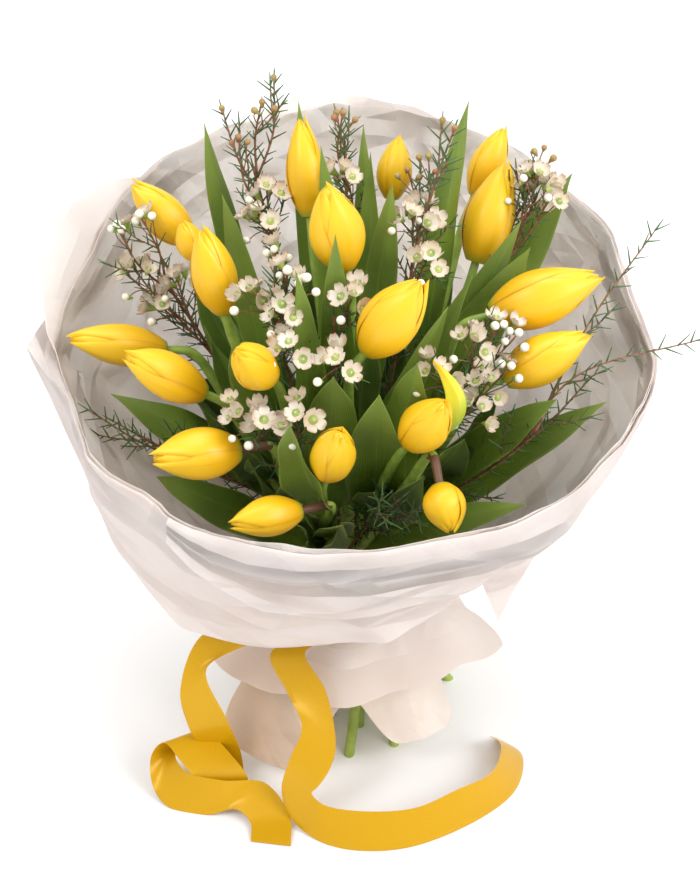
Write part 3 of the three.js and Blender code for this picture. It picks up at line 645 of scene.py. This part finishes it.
# Waxflower sprays: thin woody red-brown twigs with narrow dark needles, clusters of cream five-petalled
# flowers with a green heart, round white buds on green cups, and small brown buds on the tallest ones.
SPRIG_RADIUS = 0.62
NEEDLE_LENGTH = 11.5
NEEDLE_STEP = 3.3
LONG_TWIG_STEP = 4.2
FLOWER_RADIUS = 6.5
FLOWER_CREAM = (0.88, 0.83, 0.74)
FLOWER_TAN = (0.76, 0.64, 0.49)
FLOWER_RIM = (0.48, 0.28, 0.15)
LONG_TWIG_FOOT = 1.3  # added to its radius, as a share of the sprig's
FORK_DROP = 50
SIDE_TWIGS = (0.68, 0.73, 0.78, 0.83, 0.88)  # where they leave the twig, as shares of its way
GOLDEN_ANGLE = math.pi * (3 - math.sqrt(5))
BROWN_BUDS = (0, 4, 5, 6)
TWIG, NEEDLE, PETAL, CUP, BUD, BROWN = range(6)


def facing(point, direction):
    """The matrix that stands a shape made along +Z on a point, looking along a direction."""
    return Matrix.Translation(point) @ Vector((0, 0, 1)).rotation_difference(direction).to_matrix().to_4x4()


def merge(mesh, part):
    """Add a finished part to its piece's mesh."""
    data = bpy.data.meshes.new("part")
    part.to_mesh(data)
    part.free()
    mesh.from_mesh(data)
    bpy.data.meshes.remove(data)


def cone(mesh, stand, low, high, foot, top, sides, finish):
    """A blunt cone on a place, from one height to another, with a radius at its foot and at its top."""
    middle = Matrix.Translation((0, 0, (low + high) / 2))
    points = bmesh.ops.create_cone(mesh, cap_ends=True, segments=sides, radius1=foot, radius2=top,
                                   depth=high - low, matrix=stand @ middle)["verts"]
    for face in faces_of(points):
        face.material_index = finish


def add_needle(mesh, point, direction, length):
    cone(mesh, facing(point, direction), -0.5, length - 0.5, 0.62, 0.25, 4, NEEDLE)


def add_flower(mesh, point, direction, radius, turn, opened):
    """A flower on its green cup. opened is 1 where its petals lie flat, and less where they stand up."""
    stand = facing(point, direction) @ Matrix.Rotation(turn, 4, "Z")
    cone(mesh, stand, -radius * 0.75, radius * 0.05, 0.6, radius * 0.42, 10, CUP)
    cone(mesh, stand, radius * 0.05, radius * 0.16, radius * 0.4, radius * 0.3, 10, CUP)
    cone(mesh, stand, radius * 0.1, radius * 0.36, radius * 0.14, radius * 0.06, 6, PETAL)
    for petal in range(5):
        lean = stand @ Matrix.Rotation(petal * 2 * math.pi / 5, 4, "Z")

        def place(u, v):
            side = 2 * u - 1
            out = radius * (0.34 + opened * 0.7 * math.sin(1.35 * v))
            half = radius * 0.44 * math.sqrt(max(0.03, 1 - (1.7 * v - 0.78) ** 2))
            up = radius * ((1.15 - opened) * v + 0.3 * v ** 3 + 0.12 * side ** 2)
            return lean @ Vector((out, side * half, up))

        faces = skin(mesh, place, 4, 5, finish=PETAL)
        bmesh.ops.solidify(mesh, geom=faces, thickness=-0.35)


def add_bud(mesh, point, direction, radius, finish):
    stand = facing(point, direction)
    cone(mesh, stand, -radius * 2, -radius * 0.25, 0.5, radius * 0.92, 8, CUP if finish == BUD else BROWN)
    ball = bmesh.ops.create_icosphere(mesh, subdivisions=2, radius=radius, matrix=stand)["verts"]
    for face in faces_of(ball):
        face.material_index = finish


def needles_along(mesh, line, start, chance, step=NEEDLE_STEP):
    """Narrow leaves round a twig in a spiral, from the share start of its way to its tip."""
    lengths = [(b - a).length for a, b in zip(line, line[1:])]
    whole = sum(lengths)
    travelled = 0
    count = 0
    needles = new_mesh()
    for a, b, length in zip(line, line[1:], lengths):
        along = (b - a).normalized()
        reach = (travelled // step + 1) * step
        while reach < travelled + length:
            if reach > start * whole:
                side = along.orthogonal().normalized()
                side.rotate(Matrix.Rotation(count * GOLDEN_ANGLE, 3, along))
                size = NEEDLE_LENGTH * chance.uniform(0.65, 1.05)
                add_needle(needles, a.lerp(b, (reach - travelled) / length), along + side * 1.15, size)
                count += 1
            reach += step
        travelled += length
    add_needle(needles, line[-1], line[-1] - line[-2], NEEDLE_LENGTH * 0.7)
    merge(mesh, needles)


def add_head(mesh, foot, head, look, kind, brown, chance):
    """A flower or a bud at the end of its own thin stalk."""
    stalk = curve_through([foot, (foot + head) / 2 + look * 1.5, head - look * 2], 3)
    part = new_mesh()
    rod(part, stalk, 0.36, 5, finish=TWIG)
    if kind == "flower":
        size = FLOWER_RADIUS * chance.uniform(0.85, 1.12)
        add_flower(part, head, look, size, chance.uniform(0, 2), chance.uniform(0.55, 1.0))
    elif brown:
        add_bud(part, head, look, chance.uniform(1.7, 2.3), BROWN)
    else:
        add_bud(part, head, look, chance.uniform(2.1, 2.9), BUD)
    merge(mesh, part)


def add_cluster(mesh, sprig, kind, outward, brown, chance):
    """Several flowers or buds at the end of a sprig."""
    ends = ["flower"] * 4 + ["bud"] if kind == "flower" else ["bud"] * 3 + ["flower"] * (not brown)
    for count, end_kind in enumerate(ends):
        foot = sprig[-1 - min(len(sprig) - 1, 3 + 2 * (count % 3))]
        around = outward.orthogonal().normalized()
        around.rotate(Matrix.Rotation(count * GOLDEN_ANGLE + chance.uniform(-0.4, 0.4), 3, outward))
        spread = (4.5 + 2.6 * count if kind == "flower" else 3 + 2.4 * count) * (count > 0)
        head = sprig[-1] + around * spread - outward * spread * chance.uniform(0.2, 0.9)
        tilt = Vector((chance.uniform(-0.5, 0.5), chance.uniform(-0.8, 0.1), chance.uniform(-0.1, 0.4)))
        look = (outward + around * 0.8 * (count > 0) + tilt).normalized()
        add_head(mesh, foot, head, look, end_kind, brown, chance)


def side_twig(mesh, line, share, length, chance):
    """A bare twiglet with needles that leaves a twig at a share of its way."""
    at = min(len(line) - 2, int(share * len(line)))
    along = (line[at + 1] - line[at]).normalized()
    side = along.orthogonal().normalized()
    side.rotate(Matrix.Rotation(chance.uniform(0, 2 * math.pi), 3, along))
    end = line[at] + (along + side * 0.6).normalized() * length
    twiglet = curve_through([line[at], (line[at] + end) / 2 + side * 1.5, end], 4)
    part = new_mesh()
    rod(part, twiglet, 0.45, 5, finish=TWIG)
    merge(mesh, part)
    needles_along(mesh, twiglet, 0.1, chance)


def waxflower_finish(name, roughness, scale, first, second):
    """Two mottled tones of one part of the spray."""
    material, tree, shader = new_finish(name, first, roughness)
    tree.links.new(mottled(tree, scale, first, second), shader.inputs["Base Color"])
    return material


twig_brown = waxflower_finish("twig_brown", 0.65, 260.0, (0.14, 0.05, 0.028), (0.3, 0.13, 0.065))
needle_green = waxflower_finish("needle_green", 0.5, 60.0, (0.025, 0.08, 0.025), (0.07, 0.15, 0.04))
cup_green = waxflower_finish("cup_green", 0.4, 200.0, (0.2, 0.32, 0.04), (0.42, 0.5, 0.12))
bud_white = waxflower_finish("bud_white", 0.3, 150.0, (0.88, 0.86, 0.76), (0.8, 0.78, 0.62))
bud_brown = waxflower_finish("bud_brown", 0.5, 120.0, (0.34, 0.13, 0.07), (0.38, 0.34, 0.1))

flower_white, tree, shader = new_finish("flower_white", FLOWER_CREAM, 0.4)
creams = mottled(tree, 110.0, FLOWER_CREAM, FLOWER_TAN)
at_the_rim = rising(tree, surface_shares(tree)[1], 0.66, 1.0, 0.62)
tree.links.new(mixed(tree, at_the_rim, creams, FLOWER_RIM), shader.inputs["Base Color"])
glowing(tree, shader, (0.95, 0.88, 0.78, 1), 0.25)

chance = random.Random(7)
for number, (crown, sprigs) in enumerate(SPRAYS):
    mesh = new_mesh()
    stem = len(TULIPS) + number
    brown = number in BROWN_BUDS
    twig = stem_line(stem)
    rod(mesh, twig, lambda share: TWIG_RADIUS * (1.05 - 0.4 * share), 8, finish=TWIG)
    cut_level(mesh)
    needles_along(mesh, twig, 0.62, chance)
    for share in SIDE_TWIGS:
        side_twig(mesh, twig, share, chance.uniform(26, 40), chance)
    for kind, tip, *bend in sprigs:
        end = Vector(tip)
        fork = stem_at(stem, min(end.z - FORK_DROP, crowns[stem].z - 8))
        points = [fork, *(Vector(place) for place in bend), end]
        if not bend:
            sway = Vector((chance.uniform(-5, 5), chance.uniform(-5, 5), chance.uniform(-2, 2)))
            points.insert(1, (fork + end) / 2 + sway)
        sprig = curve_through(points, 8)
        foot = LONG_TWIG_FOOT if bend else 0
        rod(mesh, sprig, lambda share: SPRIG_RADIUS * (1.4 - 0.7 * share + foot * (1 - ease(3 * share))),
            6, finish=TWIG)
        outward = (end - Vector((0, 0, TIE_HEIGHT))).normalized()
        side_twig(mesh, sprig, chance.uniform(0.35, 0.6), chance.uniform(18, 30), chance)
        if kind == "needles":
            needles_along(mesh, sprig, 0.15, chance, LONG_TWIG_STEP if bend else NEEDLE_STEP)
            if brown:
                add_head(mesh, sprig[-3], end + outward * 2, outward, "bud", True, chance)
            continue
        needles_along(mesh, sprig[:-3], 0.25, chance)
        add_cluster(mesh, sprig, kind, outward, brown and kind == "bud", chance)
    put_in_place(f"waxflower_{number + 1:02d}", mesh,
                 [twig_brown, needle_green, flower_white, cup_green, bud_white, bud_brown],
                 "waxflower", f"spray_{number + 1:02d}")

# Stem tie: a few turns of natural twine wound tight round the stems where they cross, under the paper.
TWINE_TURNS = 4
TWINE_RADIUS = 0.65


def twine_place(share):
    """A point on the wound twine, at a share of its length."""
    angle = 2 * math.pi * TWINE_TURNS * share
    height = TIE_HEIGHT - 3 + 6 * share
    radius = bunch_radius + 1
    return Vector((radius * math.cos(angle), radius * math.sin(angle), height))


twine, tree, shader = new_finish("twine", (0.42, 0.3, 0.16), 0.85)
tree.links.new(mottled(tree, 400.0, (0.3, 0.2, 0.1), (0.55, 0.42, 0.24)), shader.inputs["Base Color"])
mesh = new_mesh()
rod(mesh, [twine_place(i / 200) for i in range(201)], TWINE_RADIUS, 8)
put_in_place("twine_turns", mesh, [twine], "twine", "stem_tie")

# Paper: three sheets of frosted, half-clear paper gathered at the tie. They open into a crumpled bowl, and
# the outer one is turned over at the rim. Below the tie their ends hang as a skirt and two lobes.
PAPER_THICKNESS = 0.3
PAPER_PITCH = 1.25
PAPER_LOOSENESS = 0.5
INNER_ROOM = 2.8  # how much closer to the outer sheet the inner ones lie than at the tie
FUNNEL_ROWS = 4
RIM_RADIUS = 170
WAIST_ROOM = 3.2
HANGING_ROWS = 4
HANG_CURVE = 1.45  # how the paper outside the rim draws in: 1 is a straight fall
HEM_RADIUS = 113
HEM_HEIGHT = 152
LAYER_GAP = 2.2
TISSUE_HEM = 52
SKIRT_DROP = 39
SKIRT_FLARE = 26
# Painted shade: the tan that stands for the stems and their shade seen through the paper, low down.
PAPER_STEM_SHADE_TAN = (0.7, 0.48, 0.3)

# Each set of folds in the crumpled paper: the way across them, from one crease to the next, and their depth
FOLDS = [
    ((0.8, 0.3, 0.5), 104, 5.5),
    ((-0.5, 0.75, 0.42), 77, 4.2),
    ((0.25, -0.6, 0.75), 58, 3.0),
    ((0.6, 0.72, -0.35), 41, 1.9),
    ((-0.7, 0.2, 0.68), 28, 1.2),
]


def rim_height(angle):
    return 262 + 90 * ((1 + math.sin(angle - 0.15)) / 2) ** 2


def rim_radius(angle):
    return RIM_RADIUS + 15 * max(0, math.cos(angle - 0.9)) ** 2


def pleats(angle):
    return 2.4 * math.cos(8 * angle + 0.6) + 1.6 * math.cos(5 * angle + 2)


def near(angle, degrees, width):
    """1 at a bearing, down to 0 at width degrees to either side of it."""
    past = (math.degrees(angle) - degrees + 180) % 360
    return max(0, 1 - abs(past - 180) / width)


def on_round(radius, angle, height):
    return Vector((radius * math.cos(angle), radius * math.sin(angle), height))


def crumple(angle, height, seed=0, wide=150, fine=1):
    """How far crumpled paper stands out: flat facets between straight creases that come and go."""
    place = on_round(wide, angle, height)
    drift = [noise.noise(place / 90 + Vector((seed, 0, 31 * way))) for way in range(3)]
    place += Vector(drift) * 18
    out = 0
    for number, (way, pitch, depth) in enumerate(FOLDS):
        steps = place.dot(Vector(way)) / pitch + seed
        zigzag = 4 * abs(steps - math.floor(steps + 0.5)) - 1
        shown = min(1, max(0, 0.5 + 1.3 * noise.noise(place / 62 + Vector((7 * number, seed, 0)))))
        out += depth * zigzag * shown * (1 if number < 2 else fine)
    return out if out > 0 else 0.4 * out


def ragged(angle, layer):
    """How far a sheet's edge stands above or below its even line, most of all at the back."""
    rough = 0.62 + 0.38 * math.sin(angle) + (0.45 if layer == 0 else 0)
    waves = 7 * noise.noise(on_round(2.6, angle, 5 * layer))
    nicks = 2.5 * noise.noise(on_round(8, angle, 3 * layer))
    return rough * (waves + nicks)


def funnel(angle, rise, layer, foot=0):
    """A point on the paper. rise runs from -1 at the lower hem to 0 at the tie and 1 at the rim."""
    waist = bunch_radius + WAIST_ROOM + layer * PAPER_PITCH
    opened = min(1, abs(rise) * FUNNEL_ROWS)
    loose = (layer * PAPER_LOOSENESS + INNER_ROOM) * opened
    height = TIE_HEIGHT + rise * (TIE_HEIGHT - foot if rise < 0 else rim_height(angle) - TIE_HEIGHT)
    lean = math.hypot(1, (height - TIE_HEIGHT) / SPIRAL)
    bowl = waist + (rim_radius(angle) - waist) * math.sin(math.pi / 2 * max(0, rise)) ** 1.8
    wave = pleats(angle) * opened * (1 if rise > 0 else 0.4)
    folds = crumple(angle, height) * opened ** 2 * (0.95 if rise > 0 else 0.5)
    radius = (waist * lean if rise < 0 else bowl) + loose + wave + folds
    return on_round(radius, angle, height + ragged(angle, layer) * max(0, rise) ** 8)


def add_paper(name, finish, surfaces, node_name):
    """A piece of paper from its surfaces: each a place(angle, v), columns, rows and two bearings."""
    mesh = new_mesh()
    for place, columns, rows, low, high in surfaces:
        turn = [math.radians(low), math.radians(high - low)]
        skin(mesh, lambda u, v: place(turn[0] + turn[1] * u, v), columns, rows, ring=high - low == 360)
    rims = [number for number, edge in enumerate(mesh.edges) if edge.is_boundary]
    sheet = put_in_place(name, mesh, [finish], "wrap_paper", node_name)
    sheet.modifiers.new("paper_thickness", "SOLIDIFY").thickness = PAPER_THICKNESS / 1000
    for rim in rims:
        sheet.data.edges[rim].use_edge_sharp = True


# Each set of creases: its turn about X, Y and Z, and the way from one crease to the next, in metres
PAPER_CREASES = [
    ((0.3, 0.9, 0.4), 0.046),
    ((1.2, -0.5, 1.9), 0.034),
    ((-0.7, 0.4, 2.6), 0.025),
    ((0.5, 1.6, 0.9), 0.017),
]
WAVE_PITCH = 0.314  # from one band of a wave texture to the next, at a scale of 1


def paper_finish(name, whites, rim_at, spread, slope, wrinkle_depth, through, share_through):
    """Half-clear paper. Straight creases cross it and fade out again, the sharpest of them near the rim,
    with fine wrinkles between them. Low down, most of all on the left, a painted tan shade stands for the
    stems seen through it."""
    material, tree, shader = new_finish(name, whites[0], 0.3)
    place = node(tree, "TexCoord").outputs["Object"]
    where = node(tree, "SeparateXYZ", {"Vector": place})
    # Painted shade: low down and most of all on the left, the paper is tinted tan for the stems' shade and
    # colour seen through it.
    low = rising(tree, where.outputs["Z"], 0.095, 0.04, 0.9)
    leftward = rising(tree, where.outputs["X"], 0.05, -0.06, 1.0, 0.3)
    painted_stem_shade = reckoned(tree, "MULTIPLY", low, leftward)
    tones = mixed(tree, painted_stem_shade, mottled(tree, 24.0, *whites), PAPER_STEM_SHADE_TAN)
    tree.links.new(tones, shader.inputs["Base Color"])
    relief = 0.0
    for turn, narrow_pitch in PAPER_CREASES:
        pitch = narrow_pitch * spread
        turned = node(tree, "Mapping", {"Vector": place, "Rotation": turn}).outputs["Vector"]
        steps = node(tree, "TexWave", {"Vector": turned, "Scale": WAVE_PITCH / pitch, "Distortion": 1.4,
                                       "Detail": 1.0, "Detail Scale": 0.6}, wave_profile="TRI")
        shown = node(tree, "TexNoise", {"Vector": turned, "Scale": 0.55 / pitch, "Detail": 0.0})
        depth = rising(tree, shown.outputs["Fac"], 0.42, 0.62, pitch * slope)
        relief = reckoned(tree, "ADD", reckoned(tree, "MULTIPLY", steps.outputs["Fac"], depth), relief)
    crushed = rising(tree, distance_from(tree, surface_shares(tree)[1], rim_at), 0.02, 0.2, 0.4, 1.0)
    wrinkles = node(tree, "TexNoise", {"Vector": place, "Scale": 60.0, "Detail": 3.0})
    fine = reckoned(tree, "MULTIPLY", wrinkles.outputs["Fac"], wrinkle_depth)
    relief = reckoned(tree, "ADD", reckoned(tree, "MULTIPLY", relief, crushed), fine)
    creased = node(tree, "Bump", {"Height": relief, "Distance": 1.0})
    tree.links.new(creased.outputs["Normal"], shader.inputs["Normal"])
    glowing(tree, shader, (*through, 1), share_through)
    return material


FROSTED_WHITES = ((0.9, 0.84, 0.815), (0.96, 0.93, 0.915))
TISSUE_WHITES = ((0.96, 0.91, 0.88), (0.98, 0.96, 0.94))
frosted_paper = paper_finish(
    "frosted_paper", FROSTED_WHITES, 0.5, 1.9, 0.24, 0.0006, (0.99, 0.95, 0.93), 0.62)
tissue_paper = paper_finish(
    "tissue_paper", TISSUE_WHITES, 0.95, 1.1, 0.2, 0.0016, (1.0, 0.96, 0.93), 0.5)


def tissue(angle, v):
    """The tissue lines the bowl, and hangs below the tie in two lobes."""
    lobes = 38 * ease(1.6 * near(angle, 228, 40)) + 24 * ease(1.6 * near(angle, 306, 34))
    return funnel(angle, 2 * v - 1, 0, TISSUE_HEM - lobes)


def back_sheet(angle, v):
    """The sheet between the other two, with two corners that stand above the rim."""
    corner = near(angle, 163, 24) + 0.28 * near(angle, 99, 14)
    row = v * (FUNNEL_ROWS + 1)
    point = funnel(angle, min(1, row / FUNNEL_ROWS), 1)
    above = max(0, row - FUNNEL_ROWS)
    out = bearing(math.degrees(angle)) * 22 * corner
    return point + Vector((out.x, out.y, 1 + math.sin(angle) + 34 * corner)) * above


def hanging(angle, hang, hem_height, layer):
    """A point on the paper that hangs outside the rim, from its fold at 0 down to its hem at 1."""
    left = 24 * max(0, math.cos(angle - 3.3)) ** 2
    right = max(0, math.cos(angle - 5.9)) ** 6
    hem_radius = HEM_RADIUS + left - 10 * max(0, math.cos(angle - 6)) ** 2 + LAYER_GAP * layer
    edge = funnel(angle, 1, 2)
    rim = edge.xy.length + 1.5 + LAYER_GAP * layer + 14 * near(angle, 183, 14) * (1 - hang)
    height = edge.z + 0.6 + (hem_height - edge.z) * hang ** HANG_CURVE
    folds = crumple(angle, height, 9, fine=0.45) * ease(3 * hang) * (1 - 0.7 * right)
    radius = rim + (hem_radius - rim) * hang ** HANG_CURVE + (8 - 16 * right) * math.sin(math.pi * hang)
    radius += folds - pleats(angle) * hang * 0.6
    under = funnel(angle, min(1, (height - TIE_HEIGHT) / (rim_height(angle) - TIE_HEIGHT)), 2).xy.length
    return on_round(max(radius, under + 0.8 + 1.4 * layer), angle, height)


def hem_of_outer(angle):
    lowered = 17 * max(0, math.cos(angle - 3.67)) - 14 * near(angle, 325, 24)
    return HEM_HEIGHT - lowered + ragged(angle, 5) * 0.5


def outer_sheet(angle, v):
    """The outer sheet rises from the tie to the rim, turns over it and hangs to its hem."""
    row = v * (FUNNEL_ROWS + HANGING_ROWS)
    if row <= FUNNEL_ROWS:
        return funnel(angle, row / FUNNEL_ROWS, 2)
    return hanging(angle, (row - FUNNEL_ROWS) / HANGING_ROWS, hem_of_outer(angle), 0)


# The turned-over band ends in a corner that hangs free at the right: bearings, and the height of its edge.
BAND_EDGE = [(236, 248), (252, 199), (265, 200), (283, 201), (300, 191), (311, 181), (317, 158), (327, 116),
             (331, 128), (336, 184), (352, 246)]


def turned_band(angle, v):
    degrees = math.degrees(angle)
    stretch = max(i for i, (low, _) in enumerate(BAND_EDGE[:-1]) if i == 0 or low <= degrees)
    (low, from_height), (high, to_height) = BAND_EDGE[stretch:stretch + 2]
    edge = from_height + (to_height - from_height) * (degrees - low) / (high - low)
    full = funnel(angle, 1, 2).z
    hem = hem_of_outer(angle)
    share = min(1, max(0.02, (full - edge) / max(1, full - hem))) ** (1 / HANG_CURVE)
    if edge < hem:
        return hanging(angle, v, edge, ease(0.15 + 4 * v) + 1.6 * v ** 3)
    return hanging(angle, v * share, hem, ease(0.15 + 4 * v) + 1.2 * v ** 3)


def skirt_point(angle, v, crumpled=1):
    """The paper below the tie flares into a short skirt with two corners. v runs up from its hem."""
    corners = 0.35 * near(angle, 200, 40) + 0.32 * near(angle, 350, 22)
    drop = (SKIRT_DROP + 16 * corners) * (1 - v)
    flare = SKIRT_FLARE * (1 - v) ** 1.6 * (1 + corners)
    waist = bunch_radius + WAIST_ROOM + 3 * PAPER_PITCH
    folds = pleats(angle) * (1 - v) + crumple(angle, 20 * v, 4, 70) * (1 - v) * crumpled
    radius = waist * math.hypot(1, drop / SPIRAL) + flare + folds
    return on_round(radius, angle, TIE_HEIGHT - drop + ragged(angle, 8) * (1 - v) ** 3 * crumpled)


band_ends = (BAND_EDGE[0][0], BAND_EDGE[-1][0])
outer_surfaces = [(outer_sheet, 350, 115, 0, 360), (turned_band, 116, 36, *band_ends)]
add_paper("paper_tissue", tissue_paper, [(tissue, 330, 100, 0, 360)], "wrap_inner")
add_paper("paper_back_sheet", frosted_paper, [(back_sheet, 330, 60, 0, 360)], "wrap_back")
add_paper("paper_outer_sheet", frosted_paper, outer_surfaces, "wrap_outer")
add_paper("paper_skirt", frosted_paper, [(skirt_point, 260, 28, 0, 360)], "wrap_skirt")

# Ribbon: one length of yellow satin, 25 mm wide, tied round the waist under the hem. One tail ends in a
# loop that lies on the surface, and the other turns on edge and runs along it to a cut end.
RIBBON_THICKNESS = 0.35
RIBBON_WIDTH = 25
RIBBON_YELLOW = (0.62, 0.32, 0.002)
RIBBON_DEEP = (0.46, 0.22, 0.001)
RIBBON_LIGHT = (0.72, 0.41, 0.004)
RIBBON_SHINE = (1.0, 0.78, 0.3)
RIBBON_WEAVE = (40.0, 700.0, 1.0)  # how often the threads turn across the ribbon and along it

# Each tail leaves the round at a bearing. Then come points on its left and right edges, as seen from the
# front, down to the cut end.
LEFT_TAIL = (235, [
    ((-66, -44, 106), (-47, -54, 98)),
    ((-94, -60, 104), (-71, -61, 95)),
    ((-107, -74, 71), (-90, -72, 88)),
    ((-102, -80, 45), (-78, -80, 53)),
    ((-95, -76, 20), (-70, -78, 22)),
    ((-98, -84, 6), (-68, -84, 6)),
    ((-98, -97, 7), (-66, -97, 8)),
    ((-98, -99, 18), (-65, -98, 20)),
    ((-108, -90, 27), (-79, -82, 29)),
    ((-119, -80, 33), (-94, -67, 33)),
    ((-127, -82, 24), (-107, -66, 20)),
    ((-126, -94, 8), (-112, -80, 22)),
    ((-116, -105, 1), (-104, -94, 21)),
    ((-90, -112, 1), (-80, -104, 23)),
    ((-72, -114, 8), (-54, -101, 18)),
    ((-63, -121, 4), (-38, -118, 6)),
    ((-62, -135, 1), (-37, -139, 1)),
])
RIGHT_TAIL = (285, [
    ((-24, -50, 99), (-2, -54, 99)),
    ((-50, -62, 92), (-28, -66, 97)),
    ((-39, -80, 75), (-15, -85, 81)),
    ((-30, -98, 63), (-9, -108, 54)),
    ((-38, -108, 44), (-14, -116, 41)),
    ((-43, -113, 22), (-21, -119, 31)),
    ((-36, -122, 6), (-24, -119, 27)),
    ((-17, -136, 0.6), (-17, -124, 22)),
    ((5, -142.5, 0.6), (8, -129, 21)),
    ((36, -140, 0.6), (41, -126, 21)),
    ((74, -121, 0.6), (66, -113, 23)),
    ((103, -95, 0.6), (89, -96, 21)),
    ((112, -74, 0.6), (96, -80, 20)),
    ((112, -55, 0.6), (97, -65, 19)),
    ((97, -41, 0.6), (91, -58, 18)),
])

satin, tree, shader = new_finish("ribbon_satin", RIBBON_YELLOW, 0.3)
fine = node(tree, "Mapping", {"Vector": node(tree, "UVMap").outputs["UV"], "Scale": RIBBON_WEAVE})
weave = node(tree, "TexNoise", {"Vector": fine.outputs["Vector"], "Scale": 1.0})
threads = mixed(tree, weave.outputs["Fac"], RIBBON_DEEP, RIBBON_LIGHT)
tree.links.new(threads, shader.inputs["Base Color"])
thread_relief = node(tree, "Bump", {"Height": weave.outputs["Fac"], "Strength": 0.12, "Distance": 0.0001})
tree.links.new(thread_relief.outputs["Normal"], shader.inputs["Normal"])
shader.inputs["Anisotropic"].default_value = 0.5
shader.inputs["Specular IOR Level"].default_value = 0.9
shader.inputs["Specular Tint"].default_value = (*RIBBON_SHINE, 1)


def ribbon_round(u, v, ripple=0):
    """A point on the ribbon's round, gathered to half its width at the top of the skirt."""
    angle = 2 * math.pi * u
    out = bearing(360 * u) * (1.7 + ripple * math.cos(6 * math.pi * v))
    return skirt_point(angle, 1, 0).lerp(skirt_point(angle, 0.5, 0), 0.55 * (1 - v)) + out


def add_tail(name, tail, node_name):
    steps = 10
    start, stations = tail
    knot = ribbon_round(start / 360, 0.5) + bearing(start) * 1.1
    sides = []
    for side in (0, 1):
        corner = knot + bearing(start + 90) * RIBBON_WIDTH * (side - 0.5)
        sides.append(curve_through([corner] + [Vector(station[side]) for station in stations], steps))
    left, right = sides
    last = len(left) - 1
    mesh = new_mesh()
    faces = skin(mesh, lambda u, v: left[round(v * last)].lerp(right[round(v * last)], u), 8, last)
    bmesh.ops.solidify(mesh, geom=faces, thickness=RIBBON_THICKNESS)
    piece = put_in_place(name, mesh, [satin], "ribbon", node_name)


mesh = new_mesh()
band_faces = skin(mesh, lambda u, v: ribbon_round(u, v, 0.5), 180, 14, ring=True)
bmesh.ops.solidify(mesh, geom=band_faces, thickness=RIBBON_THICKNESS)
waist = put_in_place("ribbon_round_waist", mesh, [satin], "ribbon", "ribbon_waist")
add_tail("ribbon_left_tail", LEFT_TAIL, "ribbon_tail_left")
add_tail("ribbon_right_tail", RIGHT_TAIL, "ribbon_tail_right")
